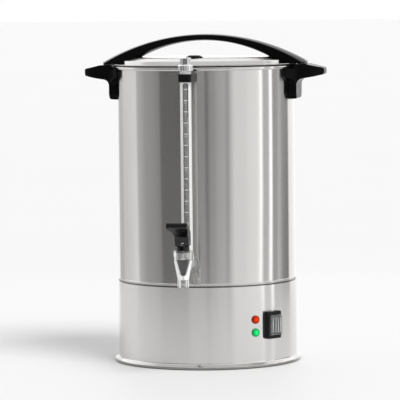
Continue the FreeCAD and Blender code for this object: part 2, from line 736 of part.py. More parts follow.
def make_tap_shank():
    """Clear tee from the tank wall to the tap, with the gauge's socket on top."""
    flange_face = -(TANK_RADIUS + 3.4)
    tube = along_shank(-110, SHANK_END_Y, SHANK_RADIUS)
    flange = along_shank(flange_face, flange_face - 3.0, SHANK_FLANGE_RADIUS)
    socket = at_gauge(ring(0, 9.2, SHANK_HEIGHT, 166.8))
    collar = along_shank(-168.5, -171.5, 9.4)
    bore = along_shank(-100, SHANK_END_Y - 5, SHANK_BORE)
    gauge_bore = at_gauge(turned([
        (0, SHANK_HEIGHT), (3.6, SHANK_HEIGHT), (3.6, 156.8), (7.45, 156.8), (7.45, BIG), (0, BIG)]))
    return less(joined([tube, flange, socket, collar]), bore, gauge_bore)


def make_shank_washers():
    """One sealing washer on each side of the tank wall."""
    flange_face = -(TANK_RADIUS + 3.4)
    outer = less(along_shank(-110, flange_face, 10.6), along_shank(-100, -150, SHANK_RADIUS + 0.05))
    outer = less(outer, Part.makeCylinder(TANK_RADIUS, BIG))
    inner = less(along_shank(-119.4, -130, 11.4), along_shank(-100, -150, SHANK_RADIUS + 0.05))
    inner = inner.common(Part.makeCylinder(TANK_RADIUS - SHEET, BIG))
    return group([outer, inner])


def make_shank_nut():
    nut = less(hexagon(21.0, 0, 5.6), Part.makeCylinder(SHANK_RADIUS + 0.05, 20))
    nut.rotate(Vector(0, 0, 0), Vector(1, 0, 0), 90)
    return moved(nut, y=-113.7, z=SHANK_HEIGHT)


def make_tap_body():
    """Clear body: spout, cone, collar and the side socket that the shank fits in."""
    low, spout_top = OUTLET_HEIGHTS
    body = at_tap(turned([
        (0, low), (OUTLET_RADIUS, low, 0.5), (OUTLET_RADIUS, spout_top),
        (OUTLET_RADIUS - 0.1, spout_top + 0.2), (CONE_TOP_RADIUS, CONE_TOP - 1.0, 3.0),
        (CONE_TOP_RADIUS, CONE_TOP, 0.3), (COLLAR_RADIUS, CONE_TOP + 0.3, 0.3),
        (COLLAR_RADIUS, COLLAR_TOP, 0.6), (0, COLLAR_TOP),
    ]))
    side_socket = along_shank(-175.5, TAP_Y, 10.2)
    chamber = at_tap(turned([
        (0, 0), (OUTLET_BORE, 0), (OUTLET_BORE, CUP_TIP - 1.4, 2.0), (CHAMBER_RADIUS - 1.2, 156.0, 8.0),
        (CHAMBER_RADIUS, 160.0, 2.0), (CHAMBER_RADIUS, BIG), (0, BIG),
    ]))
    socket_bore = along_shank(-170, SHANK_END_Y - 0.2, SHANK_RADIUS + 0.05)
    inlet = along_shank(-170, TAP_Y, SHANK_BORE)
    return less(joined([body, side_socket]), chamber, socket_bore, inlet)


def make_tap_bonnet():
    """Black cap over the chamber, slotted at the front for the stem."""
    bonnet = turned([
        (0, COLLAR_TOP - SPIGOT_DEPTH), (CHAMBER_RADIUS - 0.1, COLLAR_TOP - SPIGOT_DEPTH),
        (CHAMBER_RADIUS - 0.1, COLLAR_TOP + 0.05), (BONNET_RADIUS, COLLAR_TOP + 0.6, 0.4),
        (BONNET_RADIUS, BONNET_TOP - LEVER_GAP, 0.8), (0, BONNET_TOP - LEVER_GAP),
    ])
    guide = Part.makeCylinder(STEM_RADIUS + 0.06, BIG)
    slot = block(Vector(-1.6, -BIG, COLLAR_TOP + 0.9), Vector(1.6, -STEM_RADIUS - 0.06, BIG))
    return at_tap(less(bonnet, guide, slot))


def make_seat_cup():
    """Soft plug that closes the outlet, hollow above."""
    cup = turned([
        (0, CUP_TIP), (2.2, CUP_TIP, 1.6), (5.6, 147.0, 20.0), (8.3, 155.0, 10.0),
        (9.8, CUP_TOP, 0.3), (8.6, CUP_TOP, 0.3), (7.2, 154.4, 4.0), (4.2, 147.0, 2.0),
        (STEM_RADIUS + 0.02, 147.0), (STEM_RADIUS + 0.02, 141.0), (2.03, 141.0),
        (2.03, 139.4), (0, 139.4),
    ])
    return at_tap(cup)


def make_tap_stem():
    """Steel stem with a button in the cup, a spring seat and an eye for the pin."""
    stem = turned([
        (0, 139.5), (2.0, 139.5), (2.0, 140.9), (STEM_RADIUS, 140.9), (STEM_RADIUS, 159.6),
        (3.6, 159.6), (3.6, 160.6), (STEM_RADIUS, 160.6), (STEM_RADIUS, PIN_HEIGHT), (0, PIN_HEIGHT),
    ])
    eye = rod(Vector(-1.3, 0, PIN_HEIGHT), Vector(1.3, 0, PIN_HEIGHT), 2.7)
    hole = rod(Vector(-5, 0, PIN_HEIGHT), Vector(5, 0, PIN_HEIGHT), PIN_RADIUS + 0.05)
    return at_tap(less(joined([stem, eye]), hole))


def make_tap_spring():
    """Coil spring round the stem, from the spring seat up to the bonnet."""
    low, high = SPRING_HEIGHTS
    pitch = (high - low) / SPRING_TURNS
    path = helix_of_arcs(SPRING_RADIUS, pitch, SPRING_TURNS, low)
    start = Vector(SPRING_RADIUS, 0, low)
    along = Vector(0, 2 * math.pi * SPRING_RADIUS, pitch)
    section = Part.Wire(Part.Circle(start, along, SPRING_WIRE).toShape())
    coil = path.makePipeShell([section], True, False)
    print("spring: least gap between turns %.2f mm" % (pitch - 2 * SPRING_WIRE))
    return at_tap(coil)


def helix_of_arcs(radius, pitch, turns, bottom):
    """Helix as quarter-turn arcs, each through three points of the helix."""

    def point(turn):
        angle = 2 * math.pi * turn
        return Vector(radius * math.cos(angle), radius * math.sin(angle), bottom + pitch * turn)

    quarters = int(round(turns * 4))
    arcs = [Part.Arc(point(i / 4), point((i + 0.5) / 4), point((i + 1) / 4)).toShape()
            for i in range(quarters)]
    return Part.Wire(arcs)


def make_tap_lever():
    """Lever: cam feet on the bonnet, a hub with the pin and a paddle that leans out."""
    profile = pushed([
        (-8.0, BONNET_TOP, 1.2), (8.2, BONNET_TOP, 1.0), (8.4, 186.0, 5.0), (6.8, 197.0, 6.0),
        (-14.0, 207.4, 10.0), (-47.0, 212.5, 2.2), (-48.4, 205.2, 2.4), (-26.0, 198.6, 10.0),
        (-11.5, 190.0, 6.0),
    ], in_yz, Vector(-20, 0, 0), Vector(40, 0, 0))
    plan = pushed([
        (-9.4, 12, 2.0), (9.4, 12, 2.0), (9.4, -17, 14.0), (14.1, -40, 14.0), (14.1, -52, 4.0),
        (-14.1, -52, 4.0), (-14.1, -40, 14.0), (-9.4, -17, 14.0),
    ], in_xy, Vector(0, 0, 150), Vector(0, 0, 100))
    slot = block(Vector(-LEVER_SLOT / 2, -40, 170), Vector(LEVER_SLOT / 2, 40, PIN_HEIGHT + 3.6))
    hole = rod(Vector(-20, 0, PIN_HEIGHT), Vector(20, 0, PIN_HEIGHT), PIN_RADIUS + 0.02)
    return at_tap(less(profile.common(plan), slot, hole))


def make_lever_pin():
    pin = rod(Vector(-9.6, 0, PIN_HEIGHT), Vector(9.6, 0, PIN_HEIGHT), PIN_RADIUS)
    return at_tap(pin)


# Lamps and switch, made with x out from the tank's axis and then turned to their bearing

def on_skirt(shape, bearing, height):
    return spun(moved(shape, z=height), bearing)


def make_pilot_lens(height):
    lens = turned([
        (0, 0.4), (LAMP_RADIUS, 0.4), (LAMP_RADIUS, 1.6, 0.5), (LAMP_RADIUS - 2.2, 3.2, 4.0), (0, 3.4)])
    return on_skirt(laid_out(lens, SKIRT_RADIUS), LAMP_BEARING, height)


def make_pilot_bodies():
    body = laid_out(turned([
        (0, -22), (3.6, -22, 0.6), (3.6, -15), (LAMP_HOLE - 0.2, -15), (LAMP_HOLE - 0.2, 0.35),
        (0, 0.35)]),
        SKIRT_RADIUS)
    return group([on_skirt(body, LAMP_BEARING, height) for height in LAMP_HEIGHTS])


def make_pilot_nuts():
    nut = less(hexagon(14.0, -4.0, -1.4), moved(Part.makeCylinder(LAMP_HOLE - 0.15, 40), z=-20))
    nut = laid_out(nut, SKIRT_RADIUS)
    return group([on_skirt(nut, LAMP_BEARING, height) for height in LAMP_HEIGHTS])


def switch_box(inner_x, outer_x, half_width, half_height, rounding):
    corners = [(-half_width, -half_height, rounding), (half_width, -half_height, rounding),
               (half_width, half_height, rounding), (-half_width, half_height, rounding)]
    return pushed(corners, in_yz, Vector(inner_x, 0, 0), Vector(outer_x - inner_x, 0, 0))


def make_switch_frame():
    """Deep bezel, saddled to the skirt, with a window for the rocker and its cap."""
    face = SKIRT_RADIUS + SWITCH_PROUD
    frame = switch_box(115, face, *SWITCH_HALF, 2.2)
    window = switch_box(SKIRT_RADIUS + 0.8, 200, *SWITCH_WINDOW, 1.2)
    back = switch_box(100, 200, 10.45, 13.85, 0.4)
    skirt = Part.makeCylinder(SKIRT_RADIUS + 0.05, BIG, Vector(0, 0, -BIG / 2))
    socket_end = ROCKER_PIN_END + 0.2
    pivots = rod(Vector(ROCKER_PIVOT, -socket_end, 0), Vector(ROCKER_PIVOT, socket_end, 0), 1.25)
    frame = rounded(frame, 0.8, lambda e: e.CenterOfMass.x > face - 0.01)
    return on_skirt(less(frame, window, back, skirt, pivots), SWITCH_BEARING, SWITCH_HEIGHT)


def make_switch_body():
    """Contact block that passes through the skirt behind the bezel."""
    body = switch_box(103, SKIRT_RADIUS + 0.6, 10.4, 13.8, 0.4)
    return on_skirt(body, SWITCH_BEARING, SWITCH_HEIGHT)


def make_switch_terminals():
    blades = [block(Vector(93, y - 0.4, z - 3.15), Vector(103, y + 0.4, z + 3.15))
              for y in (-5.0, 5.0) for z in (-8.0, 0.0)]
    return on_skirt(group(blades), SWITCH_BEARING, SWITCH_HEIGHT)


def make_splash_cap():
    """Clear boot over the rocker, with four ribs down its face."""
    base = SKIRT_RADIUS + SPLASH_CAP_BASE
    front = SKIRT_RADIUS + SPLASH_CAP_FRONT
    half_width, half_height = SWITCH_WINDOW[0] - 0.15, SWITCH_WINDOW[1] - 0.15
    outer = switch_box(base, front, half_width, half_height, 2.0)
    outer = rounded(outer, 3.2, lambda e: e.CenterOfMass.x > front - 0.01)
    ribs = []
    rib_end = half_height - 4.0
    for y in (-7.2, -2.4, 2.4, 7.2):
        ribs.append(rod(Vector(front - 0.3, y, -rib_end), Vector(front - 0.3, y, rib_end), 1.2))
    room = switch_box(base - 1, front - 1.3, half_width - 1.1, half_height - 1.1, 1.4)
    return on_skirt(less(joined([outer] + ribs), room), SWITCH_BEARING, SWITCH_HEIGHT)


def make_switch_rocker():
    """Rocker with a shallow V face, tilted with its lower half in."""
    corners = [(5.0, 12.2, 0.8), (3.2, 0.0, 8.0), (5.0, -12.2, 0.8), (0.9, -11.6, 0.4),
               (-0.6, 0.0, 6.0), (0.9, 11.6, 0.4)]
    face = pushed(corners, in_xz, Vector(0, -ROCKER_HALF_WIDTH, 0), Vector(0, 2 * ROCKER_HALF_WIDTH, 0))
    pins = rod(Vector(0, -ROCKER_PIN_END, 0), Vector(0, ROCKER_PIN_END, 0), 1.2)
    rocker = joined([face, pins])
    rocker.rotate(Vector(0, 0, 0), Vector(0, 1, 0), ROCKER_TILT)
    return on_skirt(moved(rocker, x=ROCKER_PIVOT), SWITCH_BEARING, SWITCH_HEIGHT)


# Power inlet

def make_power_inlet():
    """Chassis inlet for a standard lead: flange, shell and a deep socket."""
    flange = switch_box(110, SKIRT_RADIUS + 3.0, 24.8, 11.6, 3.0)
    shell = switch_box(96, SKIRT_RADIUS + 1.0, 13.9, 10.4, 1.0)
    saddle = Part.makeCylinder(SKIRT_RADIUS + 0.05, BIG, Vector(0, 0, -BIG / 2))
    flange = less(flange, saddle)
    socket = pushed([
        (-12.2, -8.4, 0.5), (12.2, -8.4, 0.5), (12.2, 3.6), (7.6, 8.4), (-7.6, 8.4), (-12.2, 3.6),
    ], in_yz, Vector(SKIRT_RADIUS - 13.6, 0, 0), Vector(40, 0, 0))
    holes = [rod(Vector(110, y, 0), Vector(150, y, 0), 1.75) for y in (-20, 20)]
    inlet = less(joined([flange, shell]), socket, *holes)
    return on_skirt(inlet, INLET_BEARING, INLET_HEIGHT)


def make_inlet_pins():
    """Three blades: two in line and the longer earth pin above, with their tails behind."""
    back = SKIRT_RADIUS - 13.6
    places = [(-7.0, -2.0, 12.0), (7.0, -2.0, 12.0), (0.0, 2.0, 13.4)]
    pins = []
    for y, z, reach in places:
        front = block(Vector(back, y - 1.0, z - 2.0), Vector(back + reach, y + 1.0, z + 2.0))
        tail = block(Vector(86, y - 0.4, z - 2.4), Vector(96, y + 0.4, z + 2.4))
        pins += [front, tail]
    return on_skirt(group(pins), INLET_BEARING, INLET_HEIGHT)


def make_inlet_screws():
    screw = pan_screw(1.6, 9.0, 3.1, 1.8)
    screw.rotate(Vector(0, 0, 0), Vector(0, 1, 0), -90)
    placed = [moved(screw, x=SKIRT_RADIUS + 3.0, y=y) for y in (-20, 20)]
    return on_skirt(group(placed), INLET_BEARING, INLET_HEIGHT)


def make_inlet_nuts():
    nut = less(hexagon(5.5, 0, 2.4), Part.makeCylinder(1.65, 10))
    placed = [laid_out(nut, SKIRT_RADIUS - 6.0, y) for y in (-20, 20)]
    return on_skirt(group(placed), INLET_BEARING, INLET_HEIGHT)


# Percolator

def make_percolator_stem():
    """Pump tube with a bell foot that stands in the well, and a collar for the basket."""
    inner, outer = PUMP_TUBE
    foot = FLOOR_HEIGHT + SHEET - WELL_DEPTH + 0.3
    tube = turned([
        (inner, foot + 6.0), (PUMP_BELL_RADIUS - 1.0, foot), (PUMP_BELL_RADIUS, foot),
        (PUMP_BELL_RADIUS, foot + 1.5, 0.6), (outer + 3.0, foot + 9.0, 6.0), (outer, foot + 16.0, 6.0),
        (outer, PUMP_TOP, 0.3), (inner, PUMP_TOP, 0.3),
    ])
    collar = ring(outer - 0.2, 9.5, PUMP_COLLAR_HEIGHT, BASKET_BOTTOM - 0.3)
    inlets = around(rod(Vector(0, 0, foot + 1.0), Vector(BIG, 0, foot + 1.0), 1.4), evenly(6))
    return less(joined([tube, collar]), *inlets)


def hole_field(rings_of_holes, radius, bottom, top):
    holes = []
    for distance, count in rings_of_holes:
        hole = rod(Vector(distance, 0, bottom), Vector(distance, 0, top), radius)
        holes += around(hole, evenly(count, distance))
    return holes


def make_coffee_basket():
    """Open basket with a perforated floor and a sleeve over the pump tube."""
    sheet = 0.7
    sleeve = PUMP_TUBE[1] + 0.5
    basket = turned([
        (sleeve, BASKET_BOTTOM), (BASKET_RADIUS - 3.0, BASKET_BOTTOM, 3.0),
        (BASKET_RADIUS, BASKET_TOP - 3.0), (BASKET_RADIUS + 2.0, BASKET_TOP - 0.8, 0.6),
        (BASKET_RADIUS + 2.0, BASKET_TOP, 0.3), (BASKET_RADIUS - 0.6, BASKET_TOP - 0.4, 0.3),
        (BASKET_RADIUS - 3.6, BASKET_BOTTOM + sheet, 2.4),
        (sleeve + sheet, BASKET_BOTTOM + sheet), (sleeve + sheet, BASKET_TOP - 14),
        (sleeve, BASKET_TOP - 14),
    ])
    holes = hole_field([(24, 12), (40, 20), (56, 28)], 1.5, BASKET_BOTTOM - 5, BASKET_BOTTOM + 5)
    return less(basket, *holes)


def make_basket_cover():
    """Spreader plate on the basket: a dished perforated disc with a turned-down rim."""
    sheet = 0.7
    low = BASKET_TOP + 0.3
    cover = turned([
        (6.6, low), (BASKET_RADIUS + 2.6, low), (BASKET_RADIUS + 2.6, low - 4.0),
        (BASKET_RADIUS + 2.6 + sheet, low - 4.0), (BASKET_RADIUS + 2.6 + sheet, low + 3.0, 0.8),
        (BASKET_RADIUS - 2.0, low + 3.0, 0.8), (BASKET_RADIUS - 4.0, low + sheet, 0.8), (6.6, low + sheet),
    ])
    holes = hole_field([(22, 10), (38, 16), (54, 22), (70, 28)], 1.5, low - 5, low + 5)
    return less(cover, *holes)


# Heater and wiring under the floor

def make_heater_ring():
    """Sheathed ring element against the floor, with both ends turned down."""
    middle = FLOOR_HEIGHT - HEATER_TUBE_RADIUS - 0.1
    gap = math.radians(12.0)
    radius = HEATER_RING_RADIUS
    start = Vector(radius * math.cos(gap), radius * math.sin(gap), middle)
    end = Vector(start.x, -start.y, middle)
    along = Vector(-math.sin(gap), math.cos(gap), 0)
    section = Part.Wire(Part.Circle(start, along, HEATER_TUBE_RADIUS).toShape())
    arc = Part.Wire(Part.Arc(start, Vector(-radius, 0, middle), end).toShape())
    bow = arc.makePipeShell([section], True, False)
    legs = [rod(p, p - Vector(0, 0, 18), HEATER_TUBE_RADIUS) for p in (start, end)]
    knees = [Part.makeSphere(HEATER_TUBE_RADIUS, p) for p in (start, end)]
    pins = [rod(p - Vector(0, 0, 18), p - Vector(0, 0, 26), 1.6) for p in (start, end)]
    return joined([bow] + knees + legs + pins)


def make_heater_clamps():
    """Three saddle straps that press the ring to the floor, each on a welded stud."""
    top = FLOOR_HEIGHT - 0.1
    low = top - 2 * HEATER_TUBE_RADIUS
    near, far = HEATER_RING_RADIUS - 4.7, HEATER_RING_RADIUS + 4.7
    strap = pushed([
        (42.0, top), (42.0, top - 1.5), (near - 1.5, top - 1.5, 0.5), (near - 1.5, low - 1.5, 3.0),
        (far + 1.5, low - 1.5, 3.0), (far + 1.5, top), (far, top), (far, low, 1.5), (near, low, 1.5),
        (near, top),
    ], in_xz, Vector(0, -6, 0), Vector(0, 12, 0))
    hole = rod(Vector(STUD_DISTANCE, 0, 90), Vector(STUD_DISTANCE, 0, 140), 2.1)
    return group(around(less(strap, hole), STUD_BEARINGS))


def make_clamp_nuts():
    """Welded studs with their nuts, one for each strap."""
    stud = rod(Vector(STUD_DISTANCE, 0, FLOOR_HEIGHT - 8), Vector(STUD_DISTANCE, 0, FLOOR_HEIGHT), 2.0)
    nut = moved(hexagon(7.0, FLOOR_HEIGHT - 4.8, FLOOR_HEIGHT - 1.65), x=STUD_DISTANCE)
    return group(around(joined([stud, nut]), STUD_BEARINGS))


def disc_switch(bearing, radius, height, distance=90.0):
    """Round thermal switch flat against the floor, with two blades."""
    body = turned([(0, -height), (radius - 2, -height), (radius - 2, -3), (radius, -3), (radius, 0), (0, 0)])
    blades = [block(Vector(x - 0.4, -3, -height - 8), Vector(x + 0.4, 3, -height)) for x in (-4.5, 4.5)]
    parts = joined([body] + blades)
    return spun(moved(parts, x=distance, z=FLOOR_HEIGHT - 0.05), bearing)


def make_thermostat():
    return disc_switch(205.0, 13.0, 12.0)


def make_thermal_cutout():
    return disc_switch(150.0, 9.0, 9.0)


def make_terminal_block():
    """Six-way terminal strip on the base cover."""
    low = COVER_HEIGHT + 1.0
    body = block(Vector(-30, 38, low), Vector(30, 56, low + 11))
    ways = [rod(Vector(x, 30, low + 6), Vector(x, 60, low + 6), 2.2) for x in range(-25, 26, 10)]
    screws = [rod(Vector(x, 47, low + 9), Vector(x, 47, low + 20), 2.4) for x in range(-25, 26, 10)]
    return less(body, *ways, *screws)


WIRE_RADIUS = 1.4


def wire_run(points):
    """Insulated wire along straight runs joined by arcs as large as they fit."""
    edges = []
    here = points[0]
    for before, corner, after in zip(points, points[1:], points[2:]):
        back, ahead = before - corner, after - corner
        reach = 0.45 * min(back.Length, ahead.Length)
        half_turn = back.getAngle(ahead) / 2
        back.normalize()
        ahead.normalize()
        start, end = corner + back * reach, corner + ahead * reach
        radius = reach * math.tan(half_turn)
        bisector = (back + ahead).normalize()
        middle = corner + bisector * (radius / math.sin(half_turn) - radius)
        edges.append(Part.LineSegment(here, start).toShape())
        edges.append(Part.Arc(start, middle, end).toShape())
        here = end
    edges.append(Part.LineSegment(here, points[-1]).toShape())
    path = Part.Wire(edges)
    first = points[1] - points[0]
    section = Part.Wire(Part.Circle(points[0], first, WIRE_RADIUS).toShape())
    tube = path.makePipeShell([section], True, False)
    share = tube.Volume / (math.pi * WIRE_RADIUS ** 2 * path.Length)
    print("wire: volume over section times length %.3f" % share)
    return tube


def bearing_point(distance, bearing, height):
    angle = math.radians(bearing)
    return Vector(distance * math.cos(angle), distance * math.sin(angle), height)


def make_wiring():
    """Leads inside the base: inlet to strip, strip to switch, lamps, heater and thermal switches."""
    strip_back, strip_front = 57.5, 36.5
    strip = COVER_HEIGHT + 7.0
    runs = []
    for x, inlet_x in ((-25, -7), (25, 7)):
        runs.append([Vector(inlet_x, 84, INLET_HEIGHT - 2), Vector(inlet_x * 1.4, 74, 33),
                     Vector(x, 68, 22), Vector(x, strip_back, strip)])
    for x, y, z in ((-15, -5.0, -8.0), (-5, 5.0, 0.0)):
        terminal = spun(rod(Vector(91.5, y, z), Vector(92, y, z), 1), SWITCH_BEARING).CenterOfMass
        inward = bearing_point(1.0, SWITCH_BEARING, 0)
        end = Vector(terminal.x, terminal.y, SWITCH_HEIGHT + z)
        runs.append([Vector(x, strip_front, strip), Vector(x + 2, 20, strip + 4), Vector(x + 18, 0, 30),
                     end - inward * 22 - Vector(0, 0, 6), end])
    for x, side in ((5, 1), (15, -1)):
        end = bearing_point(HEATER_RING_RADIUS, 12.0 * side, FLOOR_HEIGHT - 31.5)
        runs.append([Vector(x, strip_front, strip), Vector(x + 4, 24 + 2 * side, strip + 10),
                     Vector(44, 12 * side, 52), Vector(end.x, end.y, 70), end])
    return group([wire_run(run) for run in runs])


# Every piece under its name

def all_pieces():
    side_handle = make_side_handle()
    return {
        "tank_shell": make_tank_shell(),
        "tank_floor": make_tank_floor(),
        "base_skirt": make_base_skirt(),
        "base_cover": make_base_cover(),
        "cover_brackets": make_cover_brackets(),
        "cover_screws": make_cover_screws(),
        "foot_ring": make_foot_ring(),
        "side_handle_right": side_handle,
        "side_handle_left": spun(side_handle, 180.0),
        "handle_screws": make_handle_screws(),
        "handle_washers": make_handle_washers(),
        "lid_pan": make_lid_pan(),
        "lid_seal": make_lid_seal(),
        "arch_handle": make_arch_handle(),
        "arch_screws": make_arch_screws(),
        "steam_vent": make_steam_vent(),
        "vent_nut": make_vent_nut(),
        "gauge_tube": make_gauge_tube(),
        "gauge_shield": make_gauge_shield(),
        "gauge_scale": make_gauge_scale(),
        "gauge_seal": make_gauge_seal(),
        "gauge_clip": make_gauge_clip(),
        "clip_screw": make_clip_screw(),
        "clip_washer": make_clip_washer(),
        "gauge_cap": make_gauge_cap(),
        "tap_shank": make_tap_shank(),
        "shank_washers": make_shank_washers(),
        "shank_nut": make_shank_nut(),
        "tap_body": make_tap_body(),
        "tap_bonnet": make_tap_bonnet(),
        "seat_cup": make_seat_cup(),
        "tap_stem": make_tap_stem(),
        "tap_spring": make_tap_spring(),
        "tap_lever": make_tap_lever(),
        "lever_pin": make_lever_pin(),
        "pilot_lens_red": make_pilot_lens(LAMP_HEIGHTS[0]),
        "pilot_lens_green": make_pilot_lens(LAMP_HEIGHTS[1]),
        "pilot_bodies": make_pilot_bodies(),
        "pilot_nuts": make_pilot_nuts(),
        "switch_frame": make_switch_frame(),
        "switch_body": make_switch_body(),
        "switch_terminals": make_switch_terminals(),
        "switch_rocker": make_switch_rocker(),
        "splash_cap": make_splash_cap(),
        "power_inlet": make_power_inlet(),
        "inlet_pins": make_inlet_pins(),
        "inlet_screws": make_inlet_screws(),
        "inlet_nuts": make_inlet_nuts(),
        "percolator_stem": make_percolator_stem(),
        "coffee_basket": make_coffee_basket(),
        "basket_cover": make_basket_cover(),
        "heater_ring": make_heater_ring(),
        "heater_clamps": make_heater_clamps(),
        "clamp_nuts": make_clamp_nuts(),
        "thermostat": make_thermostat(),
        "thermal_cutout": make_thermal_cutout(),
        "terminal_block": make_terminal_block(),
        "wiring": make_wiring(),
    }


def main():
    os.makedirs("parts", exist_ok=True)
    for name, shape in all_pieces().items():
        solids = shape.Solids
        sound = shape.isValid() and solids and all(s.isClosed() and s.Volume > 0 for s in solids)
        print("%-18s %2d solids %10.1f mm3 %s"
              % (name, len(solids), shape.Volume, "" if sound else "UNSOUND"))
        shape.exportStep("parts/%s.step" % name)


main()
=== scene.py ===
"""Looks of a steel coffee urn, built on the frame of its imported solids.

Everything is in metres with +Z up. The tap is on the -Y side, and the camera stands a little
towards +X of it.
"""

import logging
import math
from dataclasses import dataclass
from enum import Enum
from typing import ClassVar

import bpy
from mathutils import Matrix, Vector


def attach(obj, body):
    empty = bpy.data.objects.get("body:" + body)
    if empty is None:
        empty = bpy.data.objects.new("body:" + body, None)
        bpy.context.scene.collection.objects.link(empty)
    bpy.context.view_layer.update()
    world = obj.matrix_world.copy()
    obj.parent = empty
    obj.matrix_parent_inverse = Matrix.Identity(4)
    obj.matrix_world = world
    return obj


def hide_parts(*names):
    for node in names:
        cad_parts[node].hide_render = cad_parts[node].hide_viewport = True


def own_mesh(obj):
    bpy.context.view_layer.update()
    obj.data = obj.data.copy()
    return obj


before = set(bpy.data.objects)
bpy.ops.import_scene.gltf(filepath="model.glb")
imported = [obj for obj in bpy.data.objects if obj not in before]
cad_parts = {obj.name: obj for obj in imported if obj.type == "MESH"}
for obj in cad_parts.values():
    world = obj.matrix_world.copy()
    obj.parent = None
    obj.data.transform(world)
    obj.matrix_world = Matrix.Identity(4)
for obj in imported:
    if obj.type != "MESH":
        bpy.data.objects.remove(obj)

bpy.context.view_layer.update()

LOG = logging.getLogger("urn")
MM = 0.001  # a millimetre, in metres
Colour = tuple[float, float, float]
Size = tuple[float, float, float]
Socket = bpy.types.NodeSocket
TAP_BEARING = -90.0  # degrees about the urn's axis, from +X towards +Y
SHARP_EDGE = 38.0  # degrees from which an edge is shaded sharp
BACK_SPLIT = 0.445  # metres up, where the cards behind the urn change their tone
SEAM_GAP = 1e-6  # metres within which a turned piece's ends are joined
FLAT_GAP = 1e-7  # metres within which a flat pattern's faces are joined


class Body(Enum):
    """The bodies that this file's own pieces move with."""

    URN = "urn"
    LID = "lid"


class Slot(Enum):
    """The record's material slots, named for this file's own pieces."""

    STEEL = "brushed_steel"
    FILM = "scale_film"
    NICKEL = "nickel_plate"


def put(name: str, data: bpy.types.ID) -> bpy.types.Object:
    """Puts a mesh, a camera or a lamp in the scene.

    Args:
        name: the new object's name.
        data: what it holds.

    Returns:
        The object.
    """
    made = bpy.data.objects.new(name, data)
    bpy.context.scene.collection.objects.link(made)
    return made


def direction(bearing: float, rise: float) -> Vector:
    """A unit vector, by its bearing and its rise above the level in radians."""
    level = math.cos(rise)
    return Vector((math.cos(bearing) * level, math.sin(bearing) * level, math.sin(rise)))


def settle(piece: bpy.types.Object, body: Body, slot: Slot, *replaced: str) -> None:
    """Hides the nodes that a finished piece stands for, and sets the piece on its body.

    Args:
        piece: the piece.
        body: the body that it moves with.
        slot: the record's slot of its finish; not used.
        replaced: the nodes that it stands for.
    """
    if replaced:
        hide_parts(*replaced)
    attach(piece, body.value)


# Shader and geometry nodes


class Value:
    """A number in a node tree that can stand in a Python expression."""

    def __init__(self, nodes: "Nodes", socket: Socket) -> None:
        """Wraps the output socket that carries the number."""
        self.nodes = nodes
        self.socket = socket

    def maths(
        self, operation: str, other: "Value | float | None" = None, swapped: bool = False
    ) -> "Value":
        """Adds one Math node.

        Args:
            operation: the node's operation.
            other: the second operand, or None for an operation that takes one.
            swapped: whether the second operand comes first.

        Returns:
            The result.
        """
        sockets = {0: self} if other is None else {int(swapped): self, int(not swapped): other}
        return self.nodes.value(self.nodes.add("ShaderNodeMath", {"operation": operation}, sockets))

    def __add__(self, other: "Value | float") -> "Value":
        """self + other."""
        return self.maths("ADD", other)

    __radd__ = __add__

    def __sub__(self, other: "Value | float") -> "Value":
        """self - other."""
        return self.maths("SUBTRACT", other)

    def __rsub__(self, other: float) -> "Value":
        """other - self."""
        return self.maths("SUBTRACT", other, swapped=True)

    def __mul__(self, other: "Value | float") -> "Value":
        """self * other."""
        return self.maths("MULTIPLY", other)

    __rmul__ = __mul__

    def __truediv__(self, other: "Value | float") -> "Value":
        """self / other."""
        return self.maths("DIVIDE", other)

    def __rtruediv__(self, other: float) -> "Value":
        """other / self."""
        return self.maths("DIVIDE", other, swapped=True)

    def __pow__(self, other: "Value | float") -> "Value":
        """self ** other."""
        return self.maths("POWER", other)

    def __gt__(self, other: "Value | float") -> "Value":
        """1 where self is above other, else 0."""
        return self.maths("GREATER_THAN", other)

    def __lt__(self, other: "Value | float") -> "Value":
        """1 where self is below other, else 0."""
        return self.maths("LESS_THAN", other)

    def highest(self, other: "Value | float") -> "Value":
        """The larger of the two."""
        return self.maths("MAXIMUM", other)

    def within(self, low: float, high: float) -> "Value":
        """Steps smoothly from 0 to 1.

        Args:
            low: where the step starts.
            high: where it ends.

        Returns:
            0 at low and below, 1 at high and above.
        """
        sockets = {0: self, 1: low, 2: high}
        settings = {"interpolation_type": "SMOOTHSTEP"}
        return self.nodes.value(self.nodes.add("ShaderNodeMapRange", settings, sockets))


